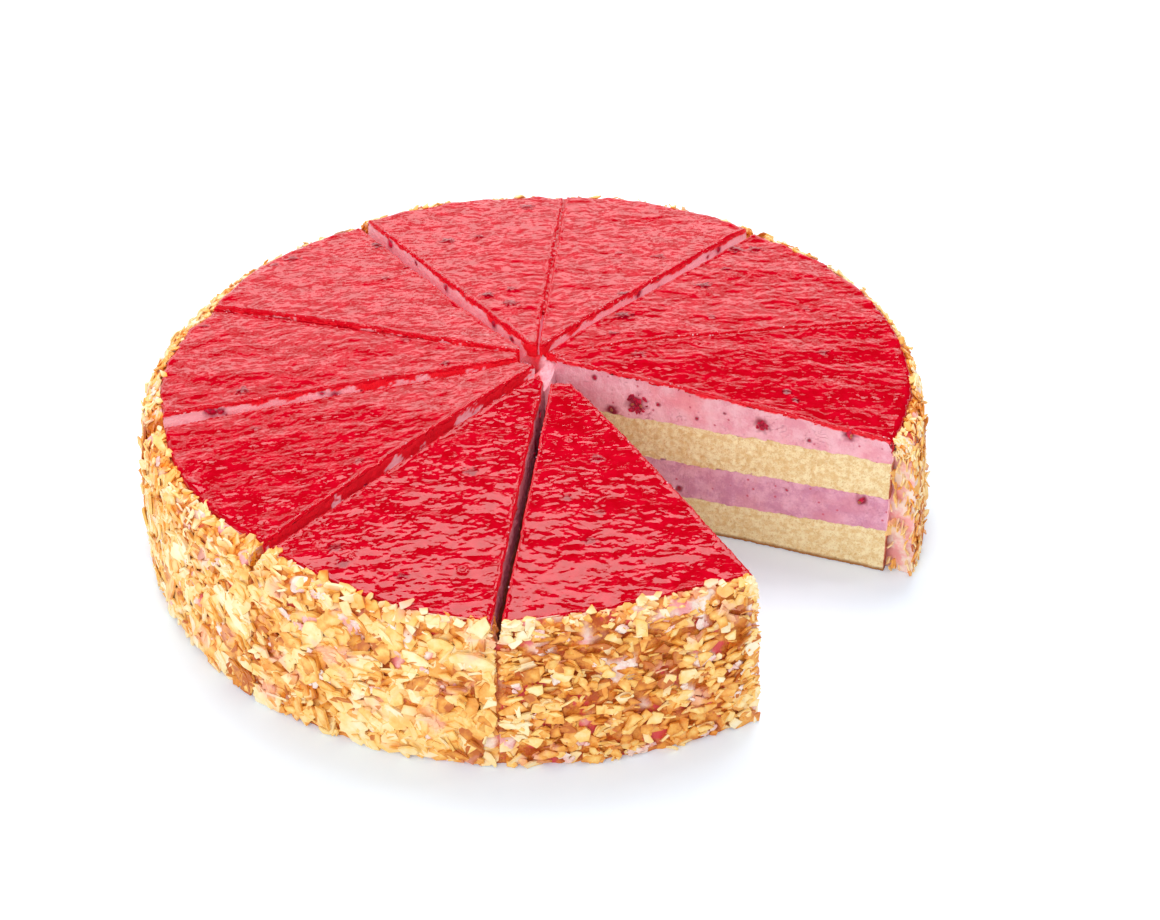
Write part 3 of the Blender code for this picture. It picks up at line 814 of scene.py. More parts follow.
def addBlob(mesh, place, axes, sizes, rough, draw, detail=2):
    # A lumpy ball with its own axes: along the wall, up, and out of it
    made = bmesh.ops.create_icosphere(mesh, subdivisions=detail, radius=1.0)["verts"]
    shift = draw.uniform(0, 90)
    for vert in made:
        vert.co *= 1 + rough * noise.noise(vert.co * 1.7 + Vector((shift, 0, 0)))
    stretch = Matrix.Diagonal((*sizes, 1))
    bmesh.ops.transform(mesh, matrix=Matrix.Translation(place) @ axes.to_4x4() @ stretch, verts=made)
    return made


def wallAxes(piece, point):
    index = np.linalg.norm(piece.ring - np.array(point), axis=1).argmin()
    outward = Vector((*piece.outward[index], 0)).normalized()
    up = Vector((0, 0, 1))
    return Matrix((up.cross(outward), up, outward)).transposed()


def addFruit():
    draw = random.Random(17)
    fruitMesh, seedMesh = bmesh.new(), bmesh.new()
    for number, x, y, z, size in fruitBits:
        axes = wallAxes(slices[number - 1], (x, y))
        place = Vector((x, y, z)) - axes.col[2] * size * 0.25
        turned = axes @ Matrix.Rotation(draw.uniform(0, 3.14), 3, "Z")
        addBlob(fruitMesh, place, turned, (size * 1.1, size * draw.uniform(0.5, 0.9), size * 0.55), 0.5, draw)
        if size > 1.3 and slices[number - 1].isOpenAt(x, y):
            spot = Vector((draw.uniform(-0.4, 0.4) * size, draw.uniform(-0.4, 0.4) * size, size * 0.5))
            addBlob(seedMesh, place + axes @ spot, turned, (1.0, 0.6, 0.45), 0.1, draw, 1)
    finishPiece("fruit_bits", fruitMesh, flesh, 80, "raspberry")
    finishPiece("fruit_seeds", seedMesh, seedTan, 80, "raspberry")


def addRaspberries():
    draw = random.Random(29)
    tip, along = openLine()
    for node, out, z, wide, tall, lumps, spread, seedCount in berries["places"]:
        x, y = tip + along * out
        axes = wallAxes(slices[3], (x, y))
        place = Vector((x, y, z))
        mesh, seedMesh = bmesh.new(), bmesh.new()
        addBlob(mesh, place - axes.col[2] * 1.5, axes, (wide * 0.86, tall * 0.86, 1.9), 0.4, draw, 3)
        for _ in range(lumps):
            turn, far = draw.uniform(0, math.tau), draw.random() ** 0.35 * spread
            spot = Vector((math.cos(turn) * wide * far, math.sin(turn) * tall * far, draw.uniform(-0.6, 0.0)))
            size = draw.uniform(0.5, 1.2)
            turned = axes @ Matrix.Rotation(draw.uniform(0, 3.14), 3, "Z")
            addBlob(mesh, place + axes @ spot, turned, (size * 1.2, size * 0.8, size * 0.6), 0.5, draw)
        for _ in range(seedCount):
            turn, far = draw.uniform(3.4, 6.0), draw.uniform(0.1, 0.6)
            spot = Vector((math.cos(turn) * wide * far, math.sin(turn) * tall * far, 0.35))
            turned = axes @ Matrix.Rotation(draw.uniform(0, 3.14), 3, "Z")
            addBlob(seedMesh, place + axes @ spot, turned, (0.9, 0.5, 0.4), 0.1, draw, 1)
        replaced = f"slice_4_raspberry_{node}"
        finishPiece(f"raspberry_{node}", mesh, flesh, 80, "raspberry", replaced)
        if seedCount:
            finishPiece(f"raspberry_seeds_{node}", seedMesh, seedTan, 80, "raspberry", replaced)


def addCrumbs():
    draw = random.Random(63)
    mesh = bmesh.new()
    for piece in slices:
        heights = piece.glaze(piece.ring)
        beside = [int(index) for index in np.nonzero(piece.kinds != "rim")[0]]
        # Pale crumbs along the cuts: real crumbs of mousse, which also stand in for the glints on the jelly's edge as
        # painted highlights
        for _ in range(crumbs["perSlice"]):
            index = draw.choice(beside)
            x, y = piece.ring[index] - piece.outward[index] * draw.uniform(0, 0.9) ** 1.5
            size = draw.uniform(*crumbs["sizes"])
            place = Vector((x, y, heights[index] + 0.12))
            turned = Matrix.Rotation(draw.uniform(0, 3.14), 3, "Z")
            addBlob(mesh, place, turned, (size * draw.uniform(1, 1.8), size, size * 0.7), 0.6, draw, 1)
    finishPiece("mousse_crumbs_and_glints", mesh, paints["upper_mousse"], 80, "upper_mousse")


# Jelly that closed again over the finest cuts, and what was left between the slices' tips
smears = {
    "cuts": ((1, 2, 36.0), (3, 4, 12.0), (8, 9, 40.0)),  # two slices, and how far from the middle it starts
    "depth": 0.55,  # below the jelly
    "uneven": 0.5,
    "overlap": 0.4,
    "sag": 0.4,
    "thickness": 1.6,
    "hub": (  # the outline between the tips
        (8.8, 1.5), (9.2, 4.5), (5.0, 9.0), (2.2, 11.0), (-3.2, 10.8), (-6.0, 4.8), (-6.4, -1.2),
        (-2.6, -5.6), (1.0, -9.6), (4.2, -13.5), (5.6, -10.5), (7.0, -5.0), (8.0, -0.5),
    ),
    "hubMiddle": (1.5, 1.0),
    "hubDepth": 3.0,
    "hubFoot": 24.0,
    "hubSide": 0.35,  # the share of the rows that go up its side
    "pit": (-1.6, 4.6, 3.8, 10.0),  # x and y, radius, depth
    "ridge": 2.6,  # further right than this it's pale mousse
}


def addRibbon(first, second, start):
    # A thin strip from one slice's jelly to the next one's, a little below both
    cut = first.ring[first.kinds == "kerf"]
    across, gap = nearestOn(cut, *second.segments("kerf"))
    near = (gap < outline["openReach"]) & (np.linalg.norm(cut, axis=1) > start)
    order = np.argsort(np.linalg.norm(cut[near], axis=1))
    sides = cut[near][order], across[near][order]
    heights = np.minimum(first.glaze(sides[0]), second.glaze(sides[1])) - smears["depth"]
    count = len(order)
    mesh = bmesh.new()
    bmesh.ops.create_grid(mesh, x_segments=count - 1, y_segments=4, size=0.5)
    for vert in mesh.verts:
        index = round((vert.co.x + 0.5) * (count - 1))
        share = vert.co.y + 0.5
        a, b = sides[0][index], sides[1][index]
        over = (b - a) / max(np.linalg.norm(b - a), 0.1) * smears["overlap"]
        x, y = a - over + (b - a + 2 * over) * share
        rough = noise.noise(Vector((x / 1.5, y / 1.5, 4.4))) + 0.6 * noise.noise(Vector((x / 6, y / 6, 9.1)))
        vert.co = (x, y, heights[index] + smears["uneven"] * rough - smears["sag"] * math.sin(share * math.pi))
    grown = bmesh.ops.extrude_edge_only(mesh, edges=[edge for edge in mesh.edges if edge.is_boundary])["geom"]
    for part in grown:
        if isinstance(part, bmesh.types.BMVert):
            part.co.z -= smears["thickness"]
    closeWall(mesh)
    finishPiece(f"jelly_smear_{first.number}", mesh, jelly, 60, "glaze")


def addHub():
    # Mousse and jelly between the tips: up its side from far down, then in to its middle, with a pit
    corners = np.array(smears["hub"])
    ring = np.concatenate(
        [a + (b - a) * np.linspace(0, 1, 6)[:-1, None] for a, b in zip(corners, np.roll(corners, -1, axis=0))]
    )
    tips = [piece.ring[np.linalg.norm(piece.ring, axis=1).argmin()] for piece in slices]
    level = min(piece.glaze(tip[None])[0] for piece, tip in zip(slices, tips)) - smears["hubDepth"]
    mesh, column = wrapWall(ring, np.zeros(len(ring)), np.ones(len(ring)), 40)
    stain, bleed, inside = valueLayers(mesh, "stain", "bleed", "inside")
    middle = np.array(smears["hubMiddle"])
    pitX, pitY, pitSize, pitDepth = smears["pit"]
    for vert in mesh.verts:
        up = min(1.0, vert.co.z / smears["hubSide"])
        inward = max(0.0, vert.co.z - smears["hubSide"]) / (1 - smears["hubSide"]) * 0.97
        x, y = middle + (ring[vert[column]] - middle) * (1 - inward)
        pit = math.exp(-((x - pitX) ** 2 + (y - pitY) ** 2) / pitSize**2)
        rough = noise.noise(Vector((x / 2, y / 2, up * 9))) + 0.6 * noise.noise(Vector((x, y, up * 20)))
        z = smears["hubFoot"] + (level + 0.9 * rough - pitDepth * pit - smears["hubFoot"]) * up
        vert.co = (x + 0.4 * rough, y + 0.4 * rough, z)
        red = noise.noise(Vector((x / 4, y / 4, 2.0))) * 1.5 + 0.9 - max(0.0, x - smears["ridge"]) * 1.2
        vert[bleed] = max(0.0, min(1.0, red)) * (up > 0.9) * (1 - pit)
        # Painted shade in the pit: it is coloured the dark red of the fruit stains, darkest in its middle
        vert[stain] = min(1.0, pit * 1.5)
        # Painted shade low on the hub's side
        vert[inside] = min(1.0, max(0.0, (level - 4 - z) / 8))
    closeWall(mesh)
    finishPiece("hub_smear", mesh, paints["upper_mousse"], 70, "upper_mousse")


for first, second, start in smears["cuts"]:
    addRibbon(slices[first - 1], slices[second - 1], start)
addHub()
flesh = fruitPaint("raspberry_flesh", srgb(222, 10, 66), srgb(134, 2, 40), 300.0, 1500.0, 0.35, 0.0002)
seedTan = fruitPaint("raspberry_seed", srgb(200, 118, 72), srgb(150, 70, 48), 900.0, 2400.0, 0.5, 0.0001)
addFruit()
addCrumbs()
addRaspberries()
print("fruit made")

# The almond coat: lumpy cream, and toasted flakes pressed into it, each slice in its own way
coat = {
    "shoulder": 5.0,  # how far below the jelly the coat starts to round in to it
    "creamInset": 1.0,
    "creamStep": 1.0,
    "creamEnd": 0.4,  # how far the cream stays back from the cuts
    "lump": 0.7,
    "dabs": 22,  # smears of cream over the flakes
    "dabLumps": 4,
    "dabSpread": (1.3, 0.7),  # along the side and up it
    "dabSizes": (0.6, 1.4),
    "dabThickness": 0.3,
    "dabLowest": 2.8,
    "kinds": 30,
    "corners": 9,
    "flakes": 940,
    "topShare": 0.24,  # how many lie on top of the others, nearly flat
    "shoulderShare": {6: 0.03, 7: 0.03, 8: 0.05},  # how many of them are small ones just under the jelly
    "shoulderElse": 0.1,
    "browned": (  # degrees round the torte and height of darker toasted places, and how far they reach
        (-134.8, 9.0, 8.0), (-100.0, 5.0, 7.0), (-148.0, 45.0, 4.5), (-108.5, 21.0, 4.5), (-161.0, 34.0, 4.0),
    ),
    "ends": 64,  # flakes that show their edges at each cut
    "openEnds": 130,  # the same where the cut stands open
    "openReach": 0.5,  # how far they stand out of an open cut
    "proud": (1.3, 2.8),  # how far most flakes' corners may stand out from the face, and a few more
    "proudShare": 0.05,
    "wholeLength": (12, 17),  # a whole almond, a small piece at the shoulder, and one on the jelly's edge
    "smallLength": (2.8, 5.0),
    "rimLength": (5.0, 8.0),
    "wholeBelow": 48,  # no whole almond lies higher
    "lean": {"edge": (0.8, 0.3), "flat": (-0.12, 0.24)},  # middle and spread of how far they tip out
    "swing": 0.26,
    "sink": {"most": (-1.6, 0.2), "top": (0.1, 0.7), "proud": (0.5, 1.6), "whole": (0.3, 0.9), "rim": (0.4, 1.0)},
    "toastRange": (-0.1, 0.66),
    "toastPatch": (13, 0.32),  # size of the darker patches in mm, and how much darker
    "batch": 60,  # flakes joined at a time, which is quicker
    "lift": {1: -0.6, 2: -0.7, 3: 0.0, 4: 0.3, 5: 0.5, 6: 0.5, 7: 0.5, 8: 0.2, 9: -0.7},  # how high it comes
    "edgewise": {5: 0.36},  # how many show their edges
    "edgewiseElse": 0.14,
    "styles": {  # length in mm from and to, share of whole almonds, share that lie level, toast
        1: (3.6, 10.0, 0.015, 0.4, 0.42), 2: (3.6, 10.0, 0.015, 0.4, 0.42), 3: (3.6, 10.0, 0.015, 0.5, 0.42),
        4: (3.8, 10.5, 0.02, 0.5, 0.42), 5: (3.6, 10.5, 0.005, 0.85, 0.42), 6: (5.0, 14.0, 0.065, 0.35, 0.35),
        7: (5.0, 14.5, 0.065, 0.25, 0.34), 8: (4.4, 12.5, 0.04, 0.3, 0.38), 9: (3.6, 10.5, 0.015, 0.4, 0.42),
    },
    "onRim": {  # degrees round the torte of the flakes that lie on the jelly's edge
        1: (105.2, 106.7, 108.1, 110.0, 92.0), 2: (78.5, 64.0, 54.0), 3: (41.3, 38.4, 28.6, 19.0), 4: (7.4, 4.4, -3.0),
        5: (-65.5, -73.9, -82.9), 6: (-108.0, -121.0), 7: (-157.3, -162.2, -167.0, -146.0),
        8: (168.8, 176.1, -176.3), 9: (131.0, 146.0),
    },
}


def almondPaint():
    paint, shader = newPaint("toasted_almond", 0.4)
    tree = paint.node_tree
    place = objectPlace(tree)
    cloud = addNoise(tree, place, 260.0, 3.0, 0.6)
    add = {"operation": "MULTIPLY_ADD"}
    rim = addNode(tree, "ShaderNodeMath", add, {1: 0.16}, {0: readValue(tree, "rim"), 2: readValue(tree, "toast")})
    toasted = addNode(tree, "ShaderNodeMath", add, {1: 0.7}, {0: cloud, 2: rim.outputs[0]})
    ramp = addNode(tree, "ShaderNodeValToRGB")
    most = 1.1  # the darkest toast, which the ramp's end stands for
    stops = (
        (0.25, srgb(255, 240, 206)), (0.50, srgb(255, 229, 170)), (0.72, srgb(254, 207, 116)),
        (0.90, srgb(240, 162, 60)), (most, srgb(200, 104, 30)),
    )
    while len(ramp.color_ramp.elements) < len(stops):
        ramp.color_ramp.elements.new(0.5)
    for element, (position, colour) in zip(ramp.color_ramp.elements, stops):
        element.position = position / most
        element.color = colour
    tree.links.new(scaleValue(tree, toasted.outputs[0], 1 / most), ramp.inputs["Fac"])
    # Painted shade between the flakes: those sunk deep among the others are tinted a warm orange
    deepShade = tintColours(tree, readValue(tree, "sunk"), ramp.outputs["Color"], srgb(250, 194, 94))
    stain = scaleValue(tree, spreadValue(tree, addNoise(tree, place, 75.0, 4.0), 0.57, 0.7), 0.5)
    tree.links.new(mixColours(tree, stain, deepShade, srgb(250, 186, 176)), shader.inputs["Base Color"])
    addBump(tree, shader, addNoise(tree, place, 1300.0, 2.0), 0.00015, 0.6)
    return paint


def creamPaint():
    paint, shader = newPaint("almond_cream_and_gap_shade", 0.55)
    tree = paint.node_tree
    # Painted shade between the flakes: the cream is a deep orange-brown where it stands for the shade and the golden
    # light bounced among them; the pale cream shows where its cream value is high
    colour, grain = addMottle(tree, srgb(240, 158, 60), srgb(190, 78, 8), 210.0, 1200.0)
    pink = addNoise(tree, objectPlace(tree), 95.0, 4.0, 0.65)
    colour = mixColours(tree, spreadValue(tree, pink, 0.55, 0.63), colour, srgb(222, 70, 70))
    white = mixColours(tree, spreadValue(tree, pink, 0.45, 0.66), srgb(255, 240, 226), srgb(248, 172, 170))
    colour = mixColours(tree, readValue(tree, "cream"), colour, white)
    tree.links.new(colour, shader.inputs["Base Color"])
    addBump(tree, shader, grain, 0.0003, 0.8)
    return paint


def flakeShape(number):
    # An almond's outline, pointed at one end and cupped, with up to four broken edges and its real thickness
    draw = random.Random(500 + number)
    whole = number < coat["kinds"] // 5
    mesh = bmesh.new()
    bmesh.ops.create_circle(mesh, cap_ends=True, cap_tris=True, segments=coat["corners"], radius=0.5)
    width = draw.uniform(0.5, 0.62) if whole else draw.uniform(0.36, 0.64)
    for vert in mesh.verts:
        x, y = vert.co.xy
        uneven = 1 + (0.04 if whole else 0.14) * draw.uniform(-1, 1)
        vert.co = (x * uneven, y * width * (1 - 0.45 * x) * uneven, 0)
    for _ in range(0 if whole else draw.choice((2, 3, 3, 4))):
        turn = draw.uniform(0, math.tau)
        normal = Vector((math.cos(turn), math.sin(turn), 0))
        reach = draw.uniform(0.25, 0.65) * 0.5 * math.hypot(normal.x, normal.y * width)
        geometry = [*mesh.verts, *mesh.edges, *mesh.faces]
        bmesh.ops.bisect_plane(mesh, geom=geometry, plane_co=normal * reach, plane_no=normal, clear_outer=True)
    rim = mesh.verts.layers.float.new("rim")
    for vert in mesh.verts:
        vert[rim] = 1.0 if vert.is_boundary else 0.0
    grown = bmesh.ops.extrude_face_region(mesh, geom=mesh.faces[:])["geom"]
    thick = draw.uniform(0.07, 0.1)
    bmesh.ops.translate(mesh, verts=[part for part in grown if isinstance(part, bmesh.types.BMVert)], vec=(0, 0, thick))
    cup, twist = draw.uniform(-0.15, 0.3), draw.uniform(-0.3, 0.3)
    for vert in mesh.verts:
        vert.co.z += cup * (vert.co.x**2 + vert.co.y**2) + twist * vert.co.x * vert.co.y
    bmesh.ops.recalc_face_normals(mesh, faces=mesh.faces)
    data = bpy.data.meshes.new("flake")
    mesh.to_mesh(data)
    mesh.free()
    data.attributes.new("toast", "FLOAT", "POINT")
    data.attributes.new("sunk", "FLOAT", "POINT")
    return data


def cutPlanes(piece):
    # The rim's points in order, and the cuts at its ends: a point, a direction into the slice, the gap's width
    ring = piece.ring
    count = len(ring)
    rimmed = piece.kinds == "rim"
    first = next(i for i in range(count) if rimmed[i] and not rimmed[i - 1])
    length = int(rimmed.sum())
    rim = ring[(first + np.arange(length + 1)) % count]
    others = np.concatenate([other.ring for other in slices if other is not piece])
    planes = []
    for corner, step in ((first, -1), (first + length, 1)):
        start = ring[corner % count]
        back = corner
        while np.linalg.norm(ring[back % count] - start) < outline["cutLook"]:
            back += step
        away = (ring[back % count] - start) * step
        gap = np.linalg.norm(others - start, axis=1).min()
        planes.append((start, np.array((-away[1], away[0])) / np.linalg.norm(away), gap))
    return planes, rim


class CoatFace:
    # The coat's face between its flakes: upright from the table, then rounded in to the jelly's edge

    def __init__(self, piece):
        self.planes, self.rim = cutPlanes(piece)
        self.index = np.arange(len(self.rim))
        self.angles = np.unwrap(np.arctan2(self.rim[:, 1], self.rim[:, 0]))
        self.away = np.linalg.norm(self.rim, axis=1) + 0.3
        self.crowns = piece.glaze(self.rim) - glaze["rimRoll"][piece.number][1] + coat["lift"][piece.number]
        self.length = np.linalg.norm(np.diff(self.rim, axis=0), axis=1).sum()
        mesh = mergedCopy(f"slice_{piece.number}_almond_coat")
        tree = BVHTree.FromBMesh(mesh)
        mesh.free()
        self.levels = np.linspace(1.0, 50.0, 9)
        self.radii = []
        for z in self.levels:
            found = []
            for x, y in self.rim[3:-3:2]:
                inward = Vector((-x, -y, 0)).normalized()
                hit = tree.ray_cast(-inward * 0.2 + Vector((0, 0, z * mm)), inward)[0]
                if hit:
                    found.append(hit.xy.length / mm)
            self.radii.append(np.percentile(found, 30))

    def spotAt(self, angle):
        turn = math.radians(angle)
        turn += math.tau * round((self.angles.mean() - turn) / math.tau)
        return float(np.interp(turn, self.angles, self.index))

    def at(self, spot, share):
        # Direction outwards, radius, height and upward tilt at a share of the way from the table to the jelly
        angle, away, crown = (np.interp(spot, self.index, of) for of in (self.angles, self.away, self.crowns))
        level = crown - coat["shoulder"]
        outer = float(np.interp(level, self.levels, self.radii))
        over = 0.5 * math.pi * math.sqrt((max(0.0, outer - away) ** 2 + coat["shoulder"] ** 2) / 2)
        run = share * (level + over)
        outward = Vector((math.cos(angle), math.sin(angle), 0))
        if run < level:
            return outward, float(np.interp(run, self.levels, self.radii)), run, 0.0
        turn = (run - level) / over * math.pi / 2
        radius = away + (outer - away) * math.cos(turn)
        return outward, radius, level + coat["shoulder"] * math.sin(turn), turn * 0.85

    def limit(self, spot, heights):
        # The face's radius at each height
        away, crown = (np.interp(spot, self.index, of) for of in (self.away, self.crowns))
        level = crown - coat["shoulder"]
        outer = np.interp(level, self.levels, self.radii)
        over = np.clip((heights - level) / coat["shoulder"], 0, 1)
        rounded = away + (outer - away) * np.sqrt(1 - over**2)
        return np.where(heights > level, rounded, np.interp(heights, self.levels, self.radii))


def addCream(piece, face, paint):
    # A lumpy strip from the layers' round side out to where the flakes lie, and dabs of cream over the flakes
    draw = random.Random(700 + piece.number)
    last = len(face.rim) - 1
    back = coat["creamEnd"] / face.length * last
    outerCount = math.ceil(face.length / coat["creamStep"])
    spots = np.linspace(back, last - back, outerCount)
    spots = np.concatenate((spots, spots[::-4]))
    count = len(spots)
    openEnds = [end for end, plane in zip((0, last), face.planes) if plane[2] > outline["openReach"]]
    ring = np.stack([np.interp(spots, face.index, face.rim[:, i]) for i in (0, 1)], axis=1)
    rows = math.ceil(face.crowns.max() / coat["creamStep"])
    mesh, column = wrapWall(ring, np.zeros(count), np.ones(count), rows)
    cream = mesh.verts.layers.float.new("cream")
    for vert in mesh.verts:
        index = vert[column]
        outward, radius, z, tilt = face.at(spots[index], vert.co.z)
        z = max(z, 0.2)
        exposed = any(abs(spots[index] - end) < 3 for end in openEnds)
        if index >= outerCount:
            vert.co = (*(ring[index] * 0.993), z - 0.6 * (z > 1))
            vert[cream] = float(exposed)
            continue
        spot = outward * radius + Vector((0, 0, z))
        lumps = noise.noise(spot / 3.5) + 0.6 * noise.noise(spot / 1.6)
        patch = noise.noise(spot / 8 + Vector((piece.number, 0, 7))) * 4 - 0.9
        patch = max(0.75 * exposed, min(1.0, patch + max(0.0, z / face.crowns.mean() - 0.9) * 8))
        depth = coat["creamInset"] - coat["lump"] * lumps - 1.1 * patch
        depth = min(depth, radius - np.linalg.norm(ring[index]) + 0.2) if tilt < 0.5 else max(0.2, depth)
        vert.co = spot - outward * depth * math.cos(tilt) - Vector((0, 0, depth * math.sin(tilt)))
        vert.co.z = max(vert.co.z, 0.2)
        for end, (_, into, gap) in zip((0, last), face.planes):
            if abs(spots[index] - end) < 2:
                low = min(1.0, max(0.0, (face.crowns.min() - 4 - vert.co.z) / 5))
                aside = 0.6 * lumps - 0.6 if gap > outline["openReach"] else (gap / 2 + coat["creamEnd"]) * low
                vert.co -= Vector((*into, 0)) * aside
        vert[cream] = max(0.92 * exposed, min(1.0, patch * (0.8 + 0.5 * lumps)))
    closeWall(mesh)
    for _ in range(coat["dabs"]):
        outward, radius, z, tilt = face.at(draw.uniform(2, last - 2), draw.uniform(0.03, 0.97))
        normal = (outward * math.cos(tilt) + Vector((0, 0, math.sin(tilt)))).normalized()
        aside = Vector((0, 0, 1)).cross(outward)
        axes = Matrix((aside, normal.cross(aside), normal)).transposed()
        place = outward * radius + Vector((0, 0, max(z, coat["dabLowest"]))) + normal * draw.uniform(-0.2, 0.3)
        wide, tall = coat["dabSpread"]
        for _ in range(coat["dabLumps"]):
            spot = axes @ Vector((draw.gauss(0, wide), draw.gauss(0, tall), draw.uniform(-0.2, 0.2)))
            turned = axes @ Matrix.Rotation(draw.uniform(0, 3.14), 3, "Z")
            size = draw.uniform(*coat["dabSizes"])
            sizes = size * draw.uniform(1, 1.8), size, coat["dabThickness"]
            for vert in addBlob(mesh, place + spot, turned, sizes, 0.7, draw):
                vert[cream] = 0.85
    replaced = f"slice_{piece.number}_almond_coat"
    finishPiece(f"coat_cream_{piece.number}", mesh, paint, 80, "almond_coat", replaced)


def placeFlake(mesh, shape, turn, place, length, toast, face, spot, highest, proud, shade):
    # The copy is turned, kept off the table, under the crown, near the face and behind both cuts, then joined
    data = shape.copy()
    data.transform(turn.to_4x4() @ Matrix.Diagonal((length, length, 0.6 * length + 2.2, 1)))
    points = np.empty(len(data.vertices) * 3)
    data.vertices.foreach_get("co", points)
    points = points.reshape(-1, 3) + np.array(place)
    shift = np.zeros(3)
    shift[2] = max(0.0, 0.15 - points[:, 2].min()) - max(0.0, points[:, 2].max() - highest)
    limits = face.limit(spot, points[:, 2] + shift[2])
    over = (np.hypot(points[:, 0], points[:, 1]) - limits).max() - proud
    outward = points[:, :2].mean(axis=0)
    shift[:2] -= max(0.0, over) * outward / np.linalg.norm(outward)
    below = np.clip((highest - 3 - points[:, 2]) / 5, 0, 1)
    for corner, into, gap in face.planes:
        reach = gap / 2 if gap < outline["openReach"] else coat["openReach"]
        over = (0.1 - reach * below - (points[:, :2] + shift[:2] - corner) @ into).max()
        shift[:2] += into * max(0.0, over)
    points += shift
    # How far the flake is sunk below the face, for its painted shade; flakes at an open cut get little of it
    sunk = shade * np.clip((0.5 + limits - np.hypot(points[:, 0], points[:, 1])) / 2.0, 0, 1)
    data.transform(Matrix.Translation(place + Vector(shift)))
    data.attributes["toast"].data.foreach_set("value", [toast] * len(data.vertices))
    data.attributes["sunk"].data.foreach_set("value", sunk.astype(np.float32))
    mesh.from_mesh(data)
    bpy.data.meshes.remove(data)


def flakeMesh():
    mesh = bmesh.new()
    valueLayers(mesh, "rim", "toast", "sunk")
    return mesh


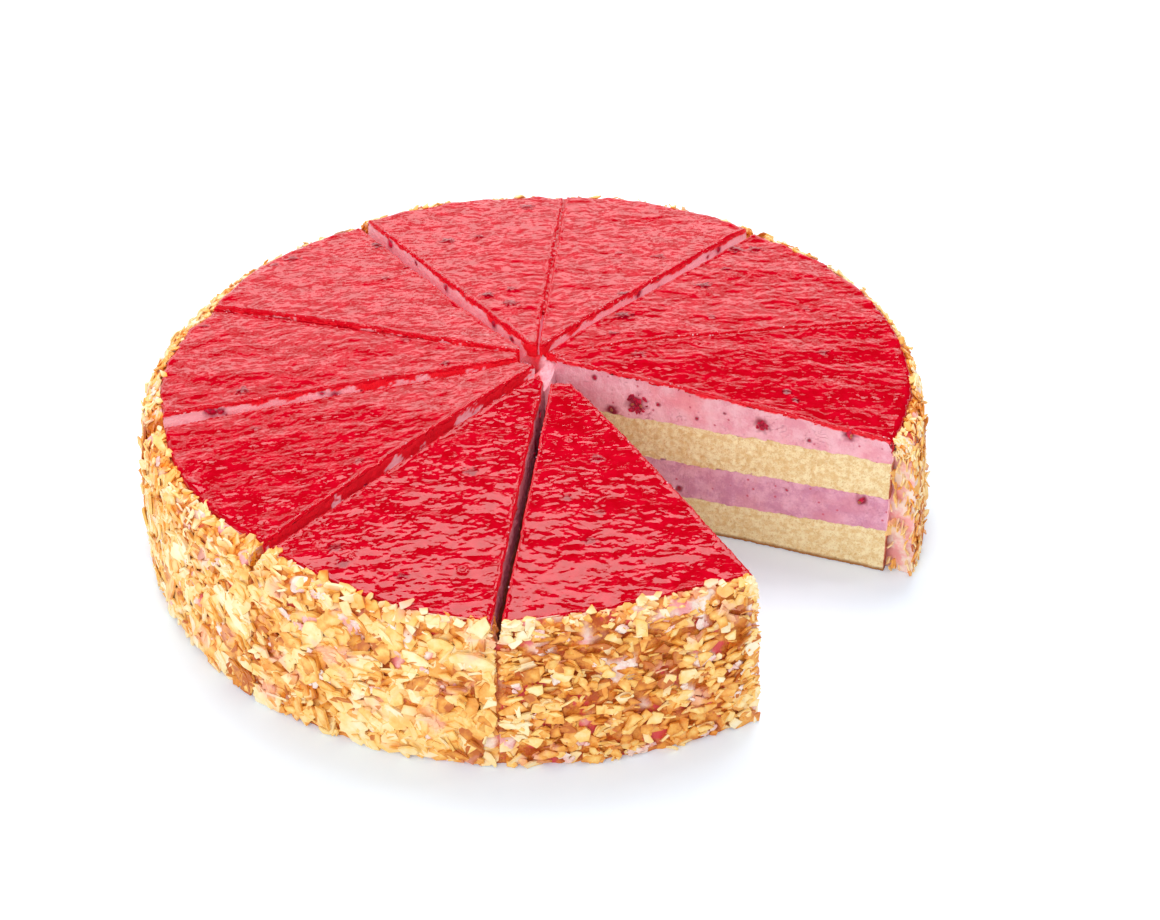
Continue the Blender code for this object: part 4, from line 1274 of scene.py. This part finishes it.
def addFlakes(piece, face, shapes, paint):
    draw = random.Random(900 + piece.number)
    shortest, longest, wholeShare, level, toastMiddle = coat["styles"][piece.number]
    mesh, batch = flakeMesh(), flakeMesh()
    wholes = coat["kinds"] // 5
    sink, (leastToast, mostToast), (patchSize, patchToast) = coat["sink"], coat["toastRange"], coat["toastPatch"]
    edgewise = coat["edgewise"].get(piece.number, coat["edgewiseElse"])
    shoulderShare = coat["shoulderShare"].get(piece.number, coat["shoulderElse"])
    last = len(face.rim) - 1
    onRim = [face.spotAt(angle) for angle in coat["onRim"][piece.number]]
    openEnds = [plane[2] > outline["openReach"] for plane in face.planes]
    ends = sum(([end] * coat["openEnds" if isOpen else "ends"] for end, isOpen in enumerate(openEnds)), [])
    kinds = ["face"] * coat["flakes"] + ["end"] * len(ends) + ["rim"] * len(onRim)
    for index, kind in enumerate(kinds):
        spot, share = draw.uniform(0, last), draw.uniform(0.005, 0.985)
        small = kind == "face" and draw.random() < shoulderShare
        if small:
            share = draw.uniform(0.9, 1.0)
        elif kind == "end":
            side = ends[index - coat["flakes"]]
            spot = draw.uniform(0, 1.6) + side * (last - 1.6)
            share = share if draw.random() < 0.75 else draw.uniform(0.85, 1.0)
        elif kind == "rim":
            spot, share = onRim.pop(), 1.0
        outward, radius, z, tilt = face.at(spot, share)
        whole = draw.random() < wholeShare and kind == "face" and z < coat["wholeBelow"]
        length = draw.uniform(*coat["wholeLength"]) if whole else 0.0
        if not whole:
            length = shortest + (longest - shortest) * draw.random() ** 1.5
        length = draw.uniform(*coat["smallLength"]) if small else length * (1 - 0.2 * min(1.0, tilt))
        aside = Vector((0, 0, 1)).cross(outward)
        facing = Matrix((aside, Vector((0, 0, 1)), outward)).transposed() @ Matrix.Rotation(-tilt, 3, "X")
        roll = draw.gauss(0, 0.45) if draw.random() < level else draw.uniform(-1.57, 1.57)
        roll += math.pi * draw.randint(0, 1)
        lean = draw.gauss(*coat["lean"]["edge" if draw.random() < edgewise else "flat"])
        swing = draw.gauss(0, coat["swing"])
        depth = draw.uniform(*sink["most"])
        if kind == "face" and not small and draw.random() < coat["topShare"]:
            depth, lean, swing = draw.uniform(*sink["top"]), lean * 0.6, swing * 0.5
            length = longest * draw.uniform(0.5, 1.05)
        stands = kind == "face" and draw.random() < coat["proudShare"]
        if stands:
            depth, lean, swing = draw.uniform(*sink["proud"]), draw.gauss(0.2, 0.4), draw.gauss(0, 0.4)
        if kind == "end":
            depth, lean, length = draw.uniform(-radius + np.linalg.norm(face.rim[0]), 0.4), lean * 0.8, length * 0.85
        elif kind == "rim":
            depth, length = draw.uniform(*sink["rim"]), draw.uniform(*coat["rimLength"])
            lean = draw.uniform(-0.5, 0.5)
            z -= coat["lift"][piece.number]
        elif whole:
            depth = draw.uniform(*sink["whole"])
        turn = facing @ Matrix.Rotation(lean, 3, "X") @ Matrix.Rotation(swing, 3, "Y") @ Matrix.Rotation(roll, 3, "Z")
        normal = facing.col[2]
        place = outward * radius + Vector((0, 0, z)) + normal * depth
        toast = draw.gauss(toastMiddle - 0.12 + noise.noise(place / patchSize) * patchToast, 0.15)
        toast = min(mostToast, max(leastToast, toast))
        cutOpen = kind == "end" and openEnds[side]
        # Flakes at an open cut are painted paler, painted light against the shade that falls among them there; those
        # near the top are a little paler too
        toast -= 0.3 * cutOpen + 0.14 * (share > 0.86)
        turned = math.degrees(math.atan2(place.y, place.x))
        for angle, height, wide in coat["browned"]:
            away = math.hypot(math.radians(turned - angle) * radius, place.z - height)
            toast += 0.5 * max(0.0, 1 - away / wide)
        shape = shapes[draw.randrange(wholes)] if whole else shapes[draw.randrange(wholes, len(shapes))]
        crown = float(np.interp(spot, face.index, face.crowns))
        highest = crown + (draw.uniform(0.8, 2.4) if stands or draw.random() < 0.04 else draw.uniform(0.0, 0.9))
        if kind == "rim":
            highest = crown + 3.0
        shade = 0.2 if cutOpen else 1.0
        proud = coat["proud"][stands]
        placeFlake(batch, shape, turn, place, length, toast, face, spot, highest, proud, shade)
        if (index + 1) % coat["batch"] == 0 or index == len(kinds) - 1:
            some = bpy.data.meshes.new("batch")
            batch.to_mesh(some)
            mesh.from_mesh(some)
            bpy.data.meshes.remove(some)
            batch.free()
            batch = flakeMesh()
    batch.free()
    replaced = f"slice_{piece.number}_almond_coat"
    finishPiece(f"almond_flakes_{piece.number}", mesh, paint, 38, "almond_coat", replaced)


shapes = [flakeShape(number) for number in range(coat["kinds"])]
almond = almondPaint()
cream = creamPaint()
for piece in slices:
    face = CoatFace(piece)
    addCream(piece, face, cream)
    addFlakes(piece, face, shapes, almond)
for shape in shapes:
    bpy.data.meshes.remove(shape)
print("almond coat made")
